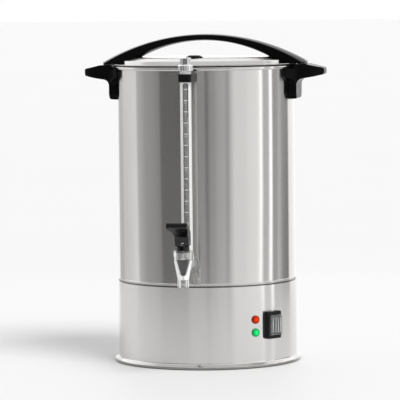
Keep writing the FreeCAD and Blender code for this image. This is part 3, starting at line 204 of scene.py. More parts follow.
class Nodes:
    """Writes a node tree."""

    def __init__(self, tree: bpy.types.NodeTree) -> None:
        """Takes the tree to write in."""
        self.tree = tree

    def add(
        self, kind: str, settings: dict | None = None, sockets: dict | None = None
    ) -> bpy.types.Node:
        """Adds one node.

        Args:
            kind: the node's type.
            settings: its properties, set before its sockets.
            sockets: socket name or number to a constant, a Value or another node's output.

        Returns:
            The node.
        """
        node = self.tree.nodes.new(kind)
        for name, setting in (settings or {}).items():
            setattr(node, name, setting)
        for name, value in (sockets or {}).items():
            self.feed(node.inputs[name], value)
        return node

    def feed(self, socket: Socket, value: object) -> None:
        """Gives an input socket what it takes.

        Args:
            socket: the input socket.
            value: a constant, a link or a list of links.
        """
        if isinstance(value, Value):
            value = value.socket
        if isinstance(value, list):
            for one in value:
                self.feed(socket, one)
        elif isinstance(value, Socket):
            self.tree.links.new(value, socket)
        else:
            socket.default_value = value

    def value(self, node: bpy.types.Node, output: str | int = 0) -> Value:
        """A node's output as a number for expressions."""
        return Value(self, node.outputs[output])

    def place(self) -> Socket:
        """The point on the piece, in the shared frame."""
        return self.add("ShaderNodeTexCoord").outputs["Object"]

    def axes(self) -> tuple[Value, Value, Value]:
        """The point's x, y and z."""
        split = self.add("ShaderNodeSeparateXYZ", sockets={0: self.place()})
        return self.value(split, 0), self.value(split, 1), self.value(split, 2)

    def shader(self) -> bpy.types.Node:
        """The material's own shader."""
        return self.tree.nodes["Principled BSDF"]

    def show(self, output: Socket) -> None:
        """Makes a shader's output the material's surface."""
        self.feed(self.tree.nodes["Material Output"].inputs["Surface"], output)

    def noise(self, size: Size, detail: float = 2.0, rough: float = 0.5) -> Value:
        """Smooth noise from 0 to 1.

        Args:
            size: the length of its features along x, y and z, in metres.
            detail: how many finer layers it has.
            rough: the strength of each finer layer.

        Returns:
            The noise.
        """
        scale = tuple(1.0 / length for length in size)
        spread = self.add("ShaderNodeMapping", sockets={"Vector": self.place(), "Scale": scale})
        sockets = {"Vector": spread.outputs[0], "Scale": 1.0, "Detail": detail, "Roughness": rough}
        return self.value(self.add("ShaderNodeTexNoise", sockets=sockets))

    def blend(self, share: Value, first: Colour | Socket, second: Colour | Socket) -> Socket:
        """Mixes two colours.

        Args:
            share: the second colour's share, from 0 to 1.
            first: the colour at 0.
            second: the colour at 1.

        Returns:
            The colour.
        """
        low, high = ((*end, 1.0) if isinstance(end, tuple) else end for end in (first, second))
        mixed = self.add("ShaderNodeMix", {"data_type": "RGBA"}, {0: share, 6: low, 7: high})
        return mixed.outputs[2]

    def bump(self, height: Value, depth: float, under: Socket | None = None) -> Socket:
        """Turns heights into a normal.

        Args:
            height: heights from 0 to 1.
            depth: how far a height of 1 stands proud, in metres.
            under: the normal that it is laid on, where that isn't the surface's own.

        Returns:
            The normal.
        """
        sockets = {"Strength": 1.0, "Distance": depth, "Height": height}
        if under is not None:
            sockets["Normal"] = under
        return self.add("ShaderNodeBump", sockets=sockets).outputs[0]


class Tree(Nodes):
    """A Geometry Nodes tree with named inputs, run once to give a plain piece."""

    def __init__(self, name: str) -> None:
        """Starts an empty tree.

        Args:
            name: the tree's name.
        """
        super().__init__(bpy.data.node_groups.new(name, "GeometryNodeTree"))
        self.tree.is_modifier = True
        self.settings: dict[str, object] = {}
        self.entry = self.add("NodeGroupInput")

    def place(self) -> Socket:
        """The point on the geometry, in the shared frame."""
        return self.add("GeometryNodeInputPosition").outputs[0]

    def size(self, name: str, value: object, kind: str = "Float") -> Value:
        """Adds a named input.

        Args:
            name: the input's name.
            value: what the modifier gives it, or None for the mesh that the tree starts from.
            kind: the kind of its socket.

        Returns:
            The input, for use in the tree.
        """
        kind = "NodeSocket" + kind
        socket = self.tree.interface.new_socket(name, in_out="INPUT", socket_type=kind)
        if value is not None:
            self.settings[socket.identifier] = value
        return self.value(self.entry, name)

    def shape(self, kind: str, settings: dict | None = None, sockets: dict | None = None) -> Value:
        """Adds a geometry node and gives its first output."""
        return self.value(self.add("GeometryNode" + kind, settings, sockets))

    def grid(self, across: Value | float, up: Value | float, columns: int, rows: int) -> Value:
        """A flat grid in the x-y plane, by its sides and its points along each."""
        sockets = {"Size X": across, "Size Y": up, "Vertices X": columns, "Vertices Y": rows}
        return self.shape("MeshGrid", sockets=sockets)

    def moved(self, shape: Value, move: tuple[float, float, float]) -> Value:
        """The shape, moved by a distance along each axis."""
        return self.shape("Transform", sockets={"Geometry": shape, "Translation": move})

    def wrapped(
        self, flat: Value, turn: float, centre: tuple[float, float], radius: float, thick: float
    ) -> Value:
        """Gives a flat pattern a thickness and wraps it round an upright cylinder.

        Args:
            flat: faces in the x-y plane, x along the cylinder's wall and y up.
            turn: bearing of the pattern's middle, in degrees.
            centre: the cylinder's axis.
            radius: the cylinder's radius.
            thick: how far the pattern stands proud of it.

        Returns:
            The wrapped pattern.
        """
        radius_in = self.size("Radius", radius)
        turn_in = self.size("Bearing", math.radians(turn))
        depth = self.size("Thickness", thick)
        # Winds the spring.
        sockets = {"Mesh": flat, "Offset Scale": depth, "Individual": False}
        raised = self.shape("ExtrudeMesh", sockets=sockets)
        back = self.shape("FlipFaces", sockets={0: flat})
        whole = self.shape("JoinGeometry", sockets={0: [raised, back]})
        whole = self.shape("MergeByDistance", sockets={"Geometry": whole, "Distance": FLAT_GAP})
        across, upward, proud = self.axes()
        angle = across / radius_in + turn_in
        reach = radius_in + proud
        middle = self.size("Axis", (*centre, 0.0), "Vector")
        sockets = {0: reach * angle.maths("COSINE"), 1: reach * angle.maths("SINE"), 2: upward}
        turned = self.add("ShaderNodeCombineXYZ", sockets=sockets).outputs[0]
        place = self.add("ShaderNodeVectorMath", {"operation": "ADD"}, {0: turned, 1: middle})
        return self.shape("SetPosition", sockets={"Geometry": whole, "Position": place.outputs[0]})

    def grow(
        self, name: str, result: Value, finish: "Finish", start: bpy.types.Mesh | None = None
    ) -> bpy.types.Object:
        """Ends the tree, runs it and gives the piece.

        Args:
            name: the piece's name.
            result: the tree's last geometry.
            finish: the piece's finish.
            start: the mesh that the tree starts from, if any.

        Returns:
            The piece, a plain mesh with smooth faces.
        """
        coat = self.size("Finish", finish.material(), "Material")
        real = self.shape("RealizeInstances", sockets={0: result})
        dressed = self.shape("SetMaterial", sockets={"Geometry": real, "Material": coat})
        self.tree.interface.new_socket("Shape", in_out="OUTPUT", socket_type="NodeSocketGeometry")
        self.add("NodeGroupOutput", sockets={0: dressed})
        source = put(name + "_start", start or bpy.data.meshes.new(name + "_start"))
        modifier = source.modifiers.new(name, "NODES")
        modifier.node_group = self.tree
        for identifier, value in self.settings.items():
            modifier[identifier] = value
        graph = bpy.context.evaluated_depsgraph_get()
        mesh = bpy.data.meshes.new_from_object(source.evaluated_get(graph), depsgraph=graph)
        source.modifiers.clear()
        bpy.data.objects.remove(source)
        mesh.shade_smooth()
        mesh.set_sharp_from_angle(angle=math.radians(SHARP_EDGE))
        return put(name, mesh)


# Finishes


@dataclass(frozen=True)
class Finish:
    """A surface finish, made a material once."""

    name: str

    def material(self) -> bpy.types.Material:
        """Makes the material at the first call.

        Returns:
            The material of this finish.
        """
        made = bpy.data.materials.get("urn_" + self.name)
        if made is None:
            made = bpy.data.materials.new("urn_" + self.name)
            made.use_nodes = True
            nodes = Nodes(made.node_tree)
            for name, value in self.looks(nodes).items():
                nodes.feed(nodes.shader().inputs[name], value)
        return made

    def looks(self, nodes: Nodes) -> dict[str, object]:
        """Works out what the shader's sockets take.

        Args:
            nodes: writes the material's tree.

        Returns:
            A constant, a number or a link for each socket, by the socket's name.
        """
        raise NotImplementedError


@dataclass(frozen=True)
class Steel(Finish):
    """Sheet steel with fine brush lines round the urn's axis. Sizes in metres."""

    dark: Colour = (0.60, 0.59, 0.575)
    light: Colour = (0.67, 0.66, 0.645)
    rough: float = 0.17
    rough_spread: float = 0.04
    across: float = 0.9
    brush_turn: float = 0.25
    line: Size = (0.12, 0.12, 0.0005)
    line_depth: float = 0.000004
    line_share: float = 0.3
    cloud: Size = (0.09, 0.09, 0.14)
    cloud_rough: float = 0.02
    wave: Size = (0.10, 0.10, 0.16)
    wave_depth: float = 0.00025

    def looks(self, nodes: Nodes) -> dict[str, object]:
        """Gives the sheet brush lines, faint clouds of tone and a slow wave.

        Args:
            nodes: writes the material's tree.

        Returns:
            What each of the shader's sockets takes.
        """
        lines = nodes.noise(self.line, detail=3.0, rough=0.6)
        clouds = nodes.noise(self.cloud)
        wave = nodes.noise(self.wave, detail=1.0, rough=0.3)
        share = clouds * (1.0 - self.line_share) + lines * self.line_share
        rough = self.rough + self.rough_spread * (lines - 0.5) + self.cloud_rough * clouds
        fine = nodes.bump(lines, self.line_depth)
        return {
            "Metallic": 1.0,
            "Anisotropic": self.across,
            "Anisotropic Rotation": self.brush_turn,
            "Base Color": self.colour(nodes, share),
            "Roughness": rough,
            "Normal": nodes.bump(wave, self.wave_depth, fine),
        }

    def colour(self, nodes: Nodes, share: Value) -> Socket:
        """The sheet's colour, by its share of the light tone."""
        return nodes.blend(share, self.dark, self.light)


@dataclass(frozen=True)
class SkirtSteel(Steel):
    """Sheet steel with painted shade in the gap at its top edge, on its lip and on its flare.

    Each pair of heights, in metres, is where one tone starts to give way to the next and where
    it has done so.
    """

    lip: tuple[float, float] = (0.0030, 0.0042)
    flare: tuple[float, float] = (0.0062, 0.0080)
    lip_shadow_colour: Colour = (0.30, 0.295, 0.285)
    flare_shade_colour: Colour = (0.62, 0.61, 0.595)
    joint: tuple[float, float] = (0.1134, 0.1138)
    gap_shade_colour: Colour = (0.12, 0.12, 0.115)

    def colour(self, nodes: Nodes, share: Value) -> Socket:
        """Paints shade on the flare, its lip and in the gap at the top.

        Args:
            nodes: writes the material's tree.
            share: the light tone's share on the wall.

        Returns:
            The colour.
        """
        height = nodes.axes()[2]
        # painted shade: a painted shadow on the lip, and a darker flare for the dark things that it
        # reflects
        foot = nodes.blend(height.within(*self.lip), self.lip_shadow_colour, self.flare_shade_colour)
        wall = nodes.blend(height.within(*self.flare), foot, super().colour(nodes, share))
        # painted shade: a dark line in the gap where the skirt meets the tank
        return nodes.blend(height.within(*self.joint), wall, self.gap_shade_colour)


@dataclass(frozen=True)
class Metal(Finish):
    """Plated, turned or drawn metal with faint marks of handling. Sizes in metres."""

    dark: Colour = (0.62, 0.62, 0.62)
    light: Colour = (0.76, 0.76, 0.76)
    rough: float = 0.10
    rough_spread: float = 0.12
    mark: float = 0.004
    depth: float = 0.00001
    mark_flatness: float = 0.3
    cloud: float = 0.02

    def looks(self, nodes: Nodes) -> dict[str, object]:
        """Gives the metal an uneven gloss and fine marks.

        Args:
            nodes: writes the material's tree.

        Returns:
            What each of the shader's sockets takes.
        """
        size = (self.mark, self.mark, self.mark * self.mark_flatness)
        marks = nodes.noise(size, detail=4.0, rough=0.65)
        clouds = nodes.noise((self.cloud,) * 3)
        return {
            "Metallic": 1.0,
            "Base Color": nodes.blend(clouds, self.dark, self.light),
            "Roughness": self.rough + self.rough_spread * marks * clouds,
            "Normal": nodes.bump(marks, self.depth),
        }


@dataclass(frozen=True)
class Moulded(Finish):
    """Opaque plastic or rubber with a moulded grain. Sizes in metres."""

    dark: Colour = (0.010, 0.010, 0.011)
    light: Colour = (0.020, 0.020, 0.021)
    rough: float = 0.30
    rough_spread: float = 0.12
    grain: float = 0.0007
    depth: float = 0.00002
    gloss: float = 0.5
    stretch: float = 1.0
    grain_share: float = 0.4
    grain_rough: float = 0.05
    patch: float = 0.018

    def looks(self, nodes: Nodes) -> dict[str, object]:
        """Gives the plastic a fine grain, and patches that hands have polished.

        Args:
            nodes: writes the material's tree.

        Returns:
            What each of the shader's sockets takes.
        """
        grain = nodes.noise((self.grain, self.grain, self.grain * self.stretch), rough=0.6)
        worn = nodes.noise((self.patch,) * 3, detail=3.0)
        share = worn * (1.0 - self.grain_share) + grain * self.grain_share
        rough = self.rough + self.rough_spread * (worn - 0.5) + self.grain_rough * grain
        return {
            "Specular IOR Level": self.gloss,
            "Base Color": nodes.blend(share, self.dark, self.light),
            "Roughness": rough,
            "Normal": nodes.bump(grain, self.depth),
        }


@dataclass(frozen=True)
class Clear(Finish):
    """Clear or tinted plastic or glass. Sizes in metres."""

    tint: Colour = (0.97, 0.985, 0.98)
    shade: Colour = (0.93, 0.95, 0.945)
    rough: float = 0.03
    index: float = 1.49
    ripple: float = 0.006
    depth: float = 0.00003
    haze: Size = (0.004, 0.004, 0.012)
    haze_rough: float = 0.04

    def looks(self, nodes: Nodes) -> dict[str, object]:
        """Gives the plastic the moulding's slow ripples and a faint haze.

        Args:
            nodes: writes the material's tree.

        Returns:
            What each of the shader's sockets takes.
        """
        haze = nodes.noise(self.haze, detail=3.0, rough=0.6)
        ripple = nodes.noise((self.ripple,) * 3, detail=1.0)
        return {
            "Transmission Weight": 1.0,
            "IOR": self.index,
            "Base Color": nodes.blend(haze, self.shade, self.tint),
            "Roughness": self.rough + self.haze_rough * haze,
            "Normal": nodes.bump(ripple, self.depth),
        }


@dataclass(frozen=True)
class ClearTap(Clear):
    """Clear plastic with light painted white on its thick walls towards their edges. Sizes in
    metres.
    """

    axis_y: float = -0.193
    cup_tip: float = 0.1376
    cup_top: float = 0.1585
    spout_top: float = 0.1322
    spout_radius: float = 0.0077
    flare: float = 0.184
    skin: float = 0.0012
    bulge: float = 0.0020
    reach: float = 0.37
    spout_edge: float = 0.55
    soft: float = 0.08
    white: Colour = (0.96, 0.96, 0.955)
    white_rough: float = 0.2

    def looks(self, nodes: Nodes) -> dict[str, object]:
        """Keeps the cone's middle clear, and paints light on the plastic that is seen edgeways.

        Args:
            nodes: writes the material's tree.

        Returns:
            What each of the shader's sockets takes.
        """
        clear = super().looks(nodes)
        along, away, height = nodes.axes()
        off = away - self.axis_y
        distance = (along * along + off * off).maths("SQRT")
        facing = nodes.value(nodes.add("ShaderNodeLayerWeight", sockets={"Blend": 0.5}), "Facing")
        rise = ((height - self.cup_tip) * (1.0 / (self.cup_top - self.cup_tip))).highest(0.0)
        edge = rise**0.5 * self.reach + (height < self.spout_top) * self.spout_edge
        wall = (height - self.spout_top).highest(0.0) * self.flare + (self.spout_radius - self.skin)
        outer = (distance > wall) * (distance < wall + self.bulge) * (height < self.cup_top)
        share = (facing - edge).within(0.0, self.soft) * outer
        # painted light: a white shader mixed in where the thick walls are seen edgeways, standing
        # in for the light that they gather
        sockets = {"Base Color": (*self.white, 1.0), "Roughness": self.white_rough}
        white = nodes.add("ShaderNodeBsdfPrincipled", sockets=sockets).outputs[0]
        sockets = {0: share, 1: nodes.shader().outputs[0], 2: white}
        nodes.show(nodes.add("ShaderNodeMixShader", sockets=sockets).outputs[0])
        return clear


@dataclass(frozen=True)
class Milky(Finish):
    """Pale plastic that light soaks into. Sizes in metres."""

    pale: Colour = (0.90, 0.91, 0.90)
    shade: Colour = (0.80, 0.81, 0.80)
    clear: float = 0.35
    rough: float = 0.25
    index: float = 1.49
    cloud: Size = (0.008, 0.008, 0.02)
    cloud_rough: float = 0.1
    depth: float = 0.00003

    def looks(self, nodes: Nodes) -> dict[str, object]:
        """Gives the plastic faint clouds and a slightly uneven gloss.

        Args:
            nodes: writes the material's tree.

        Returns:
            What each of the shader's sockets takes.
        """
        clouds = nodes.noise(self.cloud, detail=3.0, rough=0.6)
        return {
            "Transmission Weight": self.clear,
            "IOR": self.index,
            "Base Color": nodes.blend(clouds, self.shade, self.pale),
            "Roughness": self.rough + self.cloud_rough * clouds,
            "Normal": nodes.bump(clouds, self.depth),
        }


@dataclass(frozen=True)
class Glowing(Finish):
    """A lamp's lens, lit from behind and brighter at its middle. Sizes in metres."""

    centre: tuple[float, float, float] = (0.0, 0.0, 0.0)
    edge: Colour = (0.5, 0.02, 0.0)
    middle: Colour = (1.0, 0.12, 0.01)
    strength: float = 0.6
    radius: float = 0.0055
    core: float = 0.15
    ring: float = 0.0011
    ring_share: float = 0.2
    ring_rough: float = 0.1
    ring_depth: float = 0.00005
    rough: float = 0.12
    gloss: float = 0.1

    def looks(self, nodes: Nodes) -> dict[str, object]:
        """Lays the moulded lens's rings over a glow that fades outwards.

        Args:
            nodes: writes the material's tree.

        Returns:
            What each of the shader's sockets takes.
        """
        sockets = {0: nodes.place(), 1: self.centre}
        away = nodes.add("ShaderNodeVectorMath", {"operation": "DISTANCE"}, sockets)
        distance = nodes.value(away, "Value")
        rings = (distance * (math.tau / self.ring)).maths("SINE") * 0.5 + 0.5
        share = 1.0 - distance.within(self.radius * self.core, self.radius)
        glow = share * (1.0 - self.ring_share) + rings * share * self.ring_share
        colour = nodes.blend(glow, self.edge, self.middle)
        return {
            "Base Color": colour,
            "Emission Color": colour,
            "Emission Strength": self.strength,
            "Specular IOR Level": self.gloss,
            "Roughness": self.rough + self.ring_rough * rings,
            "Normal": nodes.bump(rings, self.ring_depth),
        }


@dataclass(frozen=True)
class Printed(Finish):
    """Marks printed on the gauge's film. Sizes in metres."""

    ink: Colour = (0.66, 0.66, 0.65)
    worn: Colour = (0.52, 0.52, 0.51)
    grain: float = 0.0012
    rough: float = 0.35
    rough_spread: float = 0.2
    depth: float = 0.00001

    def looks(self, nodes: Nodes) -> dict[str, object]:
        """Makes the ink a little thin in places.

        Args:
            nodes: writes the material's tree.

        Returns:
            What each of the shader's sockets takes.
        """
        thin = nodes.noise((self.grain,) * 3)
        return {
            "Base Color": nodes.blend(thin, self.worn, self.ink),
            "Roughness": self.rough + self.rough_spread * thin,
            "Normal": nodes.bump(thin, self.depth),
        }


DARK, LESS_DARK = (0.002, 0.002, 0.002), (0.005, 0.005, 0.0052)
BRUSHED = Steel("brushed_steel")
# painted light: the skirt's steel is a lighter copy of the brushed steel, brightening what the
# skirt reflects
LIT_AND_SHADED_SKIRT_STEEL = SkirtSteel("skirt_steel", (0.66, 0.65, 0.635), (0.73, 0.72, 0.705))
# painted shade: the lid's steel is a darker copy of the brushed steel, dimming what the lid
# reflects
SHADED_LID_STEEL = Steel(
    "lid_steel", (0.52, 0.515, 0.505), (0.59, 0.585, 0.575), rough=0.16, wave_depth=0.00012
)
INNER_STEEL = Steel("inner_steel", rough=0.26, rough_spread=0.08, across=0.5, wave_depth=0.0001)
POLISHED = Metal("polished_steel", (0.66, 0.66, 0.655), (0.74, 0.74, 0.735), 0.08, 0.10)
BRIGHT = Metal("bright_fittings", (0.76, 0.76, 0.77), (0.86, 0.86, 0.87), 0.05, 0.08, 0.003)
NICKEL = Metal("nickel_plate", (0.60, 0.57, 0.52), (0.74, 0.71, 0.66), 0.20, 0.20, 0.002)
SHEATH = Metal("heater_sheath", (0.16, 0.15, 0.14), (0.34, 0.32, 0.30), 0.38, 0.20, 0.003)
BLACK = Moulded("black_plastic", DARK, LESS_DARK, 0.18, 0.10, gloss=0.40)
SATIN_BLACK = Moulded("satin_plastic", DARK, LESS_DARK, 0.20, 0.10, gloss=0.20)
ARCH_BLACK = Moulded("arch_plastic", DARK, LESS_DARK, 0.08, 0.05, depth=0.000005, gloss=0.06)
HANDLE_BLACK = Moulded("handle_plastic", DARK, LESS_DARK, 0.22, 0.10, gloss=0.04)
WELD = Metal("weld_steel", (0.50, 0.50, 0.49), (0.66, 0.65, 0.64), 0.28, 0.2, 0.002)
GREY = Moulded("grey_plastic", (0.16, 0.16, 0.165), (0.24, 0.24, 0.245), 0.40)
SILICONE = Moulded(
    "silicone", (0.012, 0.012, 0.012), (0.025, 0.025, 0.025), 0.50, 0.15, 0.0012, gloss=0.3
)
PLUG = Moulded(
    "seat_plug", DARK, (0.06, 0.06, 0.055), 0.35, 0.1, 0.0016, gloss=0.1, stretch=14.0
)
PALE_SILICONE = Milky("pale_silicone", (0.88, 0.88, 0.86), (0.78, 0.78, 0.76), 0.4, 0.35, 1.41)
RUBBER = Moulded(
    "foot_rubber", (0.018, 0.018, 0.018), (0.036, 0.036, 0.036), 0.62, 0.15, 0.0010, 0.00005, 0.4
)
WIRE = Moulded("wire_jacket", (0.30, 0.05, 0.03), (0.42, 0.08, 0.05), 0.42, 0.10, 0.0015)
SHANK = Milky("shank_plastic", (0.96, 0.96, 0.95), (0.88, 0.88, 0.87), 0.72, 0.08)
TAP_CLEAR = ClearTap("tap_plastic", (0.99, 0.995, 0.99), (0.96, 0.97, 0.965), 0.02)
SHIELD = Milky("gauge_shield_plastic", (0.97, 0.97, 0.96), (0.90, 0.90, 0.89), 0.15)
VINYL = Milky("clear_vinyl", (0.88, 0.90, 0.89), (0.78, 0.80, 0.79), 0.97, 0.03, 1.43)
GLASS = Clear("gauge_glass", (0.985, 0.99, 0.985), (0.965, 0.97, 0.965), 0.01, 1.51, 0.02, 0.00001)
FILM = Milky("scale_film", (0.80, 0.80, 0.79), (0.70, 0.70, 0.69), 0.86, 0.08, 1.05)
INK = Printed("printed_marks")


# Turned sheet metal


@dataclass(frozen=True)
class Turned:
    """A sheet-metal piece turned about the urn's axis.

    Its corners are (radius, height, rounding) in mm. A sharp corner has no rounding. The arcs
    are stepped in degrees.
    """

    name: str
    corners: tuple[tuple[float, ...], ...]
    steps: int = 256
    arc_step: float = 15.0
    support: float = 0.3

    def outline(self) -> list[tuple[float, float]]:
        """Makes each rounding an arc, held by a support point on the run at each end of it.

        Returns:
            Radius and height of each point, in metres.
        """
        points: list[Vector] = []
        count = len(self.corners)
        for index, corner in enumerate(self.corners):
            here = Vector(corner[:2])
            rounding = corner[2] if len(corner) > 2 else 0.0
            if not rounding:
                points.append(here)
                continue
            before = (Vector(self.corners[index - 1][:2]) - here).normalized()
            after = (Vector(self.corners[(index + 1) % count][:2]) - here).normalized()
            half = before.angle(after) / 2
            reach = rounding / math.tan(half)
            middle = here + (before + after).normalized() * (rounding / math.sin(half))
            start, end = here + before * reach, here + after * reach
            turn = (start - middle).angle_signed(end - middle)
            steps = max(2, math.ceil(abs(math.degrees(turn)) / self.arc_step))
            arc = [
                middle + Matrix.Rotation(-turn * step / steps, 2) @ (start - middle)
                for step in range(steps + 1)
            ]
            points += [start + before * self.support, *arc, end + after * self.support]
        return [(point.x * MM, point.y * MM) for point in points]

    def piece(self, finish: Finish) -> bpy.types.Object:
        """Sweeps the outline round the axis.

        Args:
            finish: the piece's finish.

        Returns:
            The piece.
        """
        points = self.outline()
        count = len(points)
        area = sum(
            points[i - 1][0] * points[i][1] - points[i][0] * points[i - 1][1] for i in range(count)
        )
        if area > 0:  # swept faces point outwards only from a clockwise outline
            points.reverse()
        widest = max(radius for radius, _ in points)
        start = bpy.data.meshes.new(self.name + "_outline")
        corners = [(radius - widest, -height, 0.0) for radius, height in points]
        start.from_pydata(corners, [(i, (i + 1) % count) for i in range(count)], [])
        tree = Tree(self.name)
        outline = tree.shape("MeshToCurve", sockets={0: tree.size("Outline", None, "Geometry")})
        steps = tree.size("Steps", self.steps, "Int")
        sockets = {"Resolution": steps, "Radius": tree.size("Path radius", widest)}
        path = tree.shape("CurvePrimitiveCircle", sockets=sockets)
        swept = tree.shape("CurveToMesh", sockets={"Curve": path, "Profile Curve": outline})
        closed = tree.shape("MergeByDistance", sockets={"Geometry": swept, "Distance": SEAM_GAP})
        return tree.grow(self.name, closed, finish, start)


# The studio


@dataclass(frozen=True)
class Card:
    """An upright reflector, by bearings from the camera's side and the tones of its two ends."""

    start: float
    end: float
    near: float
    far: float
    low: float = 0.0
    high: float = 0.85


@dataclass
class Studio:
    """Floor, lamp, reflectors and camera.

    Lengths are in metres and angles in degrees. The focal length and the picture are in pixels.
    """

    bearing: float = 9.705
    distance: float = 3.952
    height: float = 0.510
    pitch: float = 4.112
    yaw: float = 0.135
    roll: float = 0.591
    focal: float = 2797.0
    picture: int = 400
    ambient: float = 0.55
    floor_tone: float = 0.90
    floor_spread: float = 0.01
    floor_cloud: float = 0.9
    floor_rough: float = 0.55
    floor_gloss: float = 0.2
    floor_size: float = 120.0
    sun_power: float = 1.9
    sun_from: tuple[float, float] = (38.0, 52.0)
    sun_angle: float = 28.0
    card_distance: float = 1.25
    card_step: float = 4.0
    cards: tuple[Card, ...] = (
        Card(-180, -151, 1.10, 1.10, high=BACK_SPLIT),
        Card(-151, -133, 0.64, 0.60, high=BACK_SPLIT),
        Card(-133, -97.5, 0.76, 0.82, high=BACK_SPLIT),
        Card(-97.5, -84, 0.62, 0.48),
        Card(-84, -66, 0.44, 0.36),
        Card(-66, -59, 0.34, 0.30),
        Card(-59, -22.5, 0.15, 0.12),
        Card(-22.5, -1, 0.33, 0.34),
        Card(-1, 3.2, 0.17, 0.20),
        Card(3.2, 12, 0.33, 0.40),
        Card(12, 24, 0.46, 0.56),
        Card(24, 29, 0.42, 0.44),
        Card(29, 34, 0.62, 0.86),
        Card(34, 52, 0.94, 0.97),
        Card(52, 68, 1.03, 1.10),
        Card(68, 70.5, 1.15, 1.20),
        Card(70.5, 75, 1.75, 1.75),
        Card(75, 86.5, 0.62, 0.66),
        Card(86.5, 91.5, 1.90, 1.90),
        Card(91.5, 104, 0.42, 0.50),
        Card(104, 112, 0.50, 0.27, high=BACK_SPLIT),
        Card(112, 129, 0.24, 0.22, high=BACK_SPLIT),
        Card(129, 180, 1.18, 1.20, high=BACK_SPLIT),
        Card(104, 262.5, 1.45, 1.45, BACK_SPLIT, 1.6),
    )

    def build(self) -> None:
        """Makes everything that isn't part of the urn."""
        bpy.context.scene.view_settings.view_transform = "Standard"
        self.make_camera()
        self.make_world()
        self.make_floor()
        self.make_sun()
        self.make_cards()

    def towards(self, bearing: float) -> float:
        """A bearing from the camera's side, in radians about the urn's axis."""
        return math.radians(TAP_BEARING + self.bearing + bearing)

    def make_camera(self) -> None:
        """Sets the camera at the photograph's viewpoint."""
        bearing = self.towards(0.0)
        place = (self.distance * math.cos(bearing), self.distance * math.sin(bearing), self.height)
        ahead = direction(bearing + math.pi + math.radians(self.yaw), -math.radians(self.pitch))
        right = ahead.cross(Vector((0, 0, 1))).normalized()
        upward = right.cross(ahead)
        roll = math.radians(self.roll)
        across = right * math.cos(roll) - upward * math.sin(roll)
        upright = right * math.sin(roll) + upward * math.cos(roll)
        data = bpy.data.cameras.new("camera")
        data.lens = self.focal / self.picture * data.sensor_width
        matrix = Matrix((across, upright, -ahead)).transposed().to_4x4()
        matrix.translation = place
        camera = put("camera", data)
        camera.matrix_world = matrix
        bpy.context.scene.camera = camera

    def make_world(self) -> None:
        """A white background, and a soft light from all sides."""
        world = bpy.data.worlds.new("world")
        bpy.context.scene.world = world
        world.use_nodes = True
        nodes = Nodes(world.node_tree)
        path = nodes.add("ShaderNodeLightPath")
        seen = nodes.value(path, "Is Camera Ray")
        for ray in ("Is Glossy Ray", "Is Transmission Ray"):
            seen = seen.highest(nodes.value(path, ray))
        background = world.node_tree.nodes["Background"].inputs
        background["Color"].default_value = (1.0, 1.0, 1.0, 1.0)
        nodes.feed(background["Strength"], self.ambient + (1.0 - self.ambient) * seen)

    def make_floor(self) -> None:
        """A plain pale floor that keeps the urn's shadow."""
        half = self.floor_size / 2
        corners = [(-half, -half, 0), (half, -half, 0), (half, half, 0), (-half, half, 0)]
        mesh = bpy.data.meshes.new("floor")
        mesh.from_pydata(corners, [], [(0, 1, 2, 3)])
        floor = put("floor", mesh)
        material = bpy.data.materials.new("floor")
        material.use_nodes = True
        nodes = Nodes(material.node_tree)
        shader = nodes.shader().inputs
        clouds = nodes.noise((self.floor_cloud,) * 3)
        low, high = self.floor_tone - self.floor_spread, self.floor_tone + self.floor_spread
        nodes.feed(shader["Base Color"], nodes.blend(clouds, (low,) * 3, (high,) * 3))
        shader["Roughness"].default_value = self.floor_rough
        shader["Specular IOR Level"].default_value = self.floor_gloss
        mesh.materials.append(material)

    def make_sun(self) -> None:
        """One broad lamp from the upper right, kept out of the metal."""
        data = bpy.data.lights.new("key", "SUN")
        data.energy = self.sun_power
        data.angle = math.radians(self.sun_angle)
        side, rise = self.sun_from
        source = direction(self.towards(side), math.radians(rise))
        lamp = put("key", data)
        lamp.rotation_mode = "QUATERNION"
        lamp.rotation_quaternion = source.to_track_quat("Z", "Y")
        lamp.visible_glossy = False

    def make_cards(self) -> None:
        """Upright reflectors that show only in gloss."""
        points, faces, levels = [], [], []
        for card in self.cards:
            steps = max(2, round((card.end - card.start) / self.card_step))
            for step in range(steps + 1):
                share = step / steps
                bearing = self.towards(card.start + (card.end - card.start) * share)
                along, away = math.cos(bearing), math.sin(bearing)
                foot = (self.card_distance * along, self.card_distance * away)
                points += [(*foot, card.low), (*foot, card.high)]
                levels += [card.near + (card.far - card.near) * share] * 2
                if step:
                    last = len(points) - 1
                    faces.append((last - 3, last - 1, last, last - 2))
        mesh = bpy.data.meshes.new("cards")
        mesh.from_pydata(points, [], faces)
        mesh.attributes.new("level", "FLOAT", "POINT").data.foreach_set("value", levels)
        cards = put("cards", mesh)
        material = bpy.data.materials.new("cards")
        material.use_nodes = True
        nodes = Nodes(material.node_tree)
        level = nodes.add("ShaderNodeAttribute", {"attribute_name": "level"})
        glow = nodes.add("ShaderNodeEmission", sockets={"Strength": level.outputs["Fac"]})
        nodes.show(glow.outputs[0])
        material.cycles.emission_sampling = "NONE"
        mesh.materials.append(material)
        for ray in ("camera", "diffuse", "transmission", "volume_scatter", "shadow"):
            setattr(cards, "visible_" + ray, False)


# The urn's assemblies


@dataclass
class Assembly:
    """Pieces that belong together, some of them nodes of the frame and some made here."""

    label: ClassVar[str] = "assembly"
    finishes: ClassVar[dict[str, Finish]] = {}

    def build(self) -> None:
        """Makes the assembly's own pieces and dresses its nodes."""
        made = self.make()
        dressing = self.dressing()
        for node, finish in dressing.items():
            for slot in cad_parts[node].material_slots:
                slot.material = finish.material()
        names = ", ".join(made) or "none"
        LOG.info("%s: %d nodes dressed, made here: %s", self.label, len(dressing), names)

    def dressing(self) -> dict[str, Finish]:
        """The finish of each of the assembly's nodes."""
        return self.finishes

    def make(self) -> list[str]:
        """Makes the pieces that only the looks need, and gives their names."""
        return []


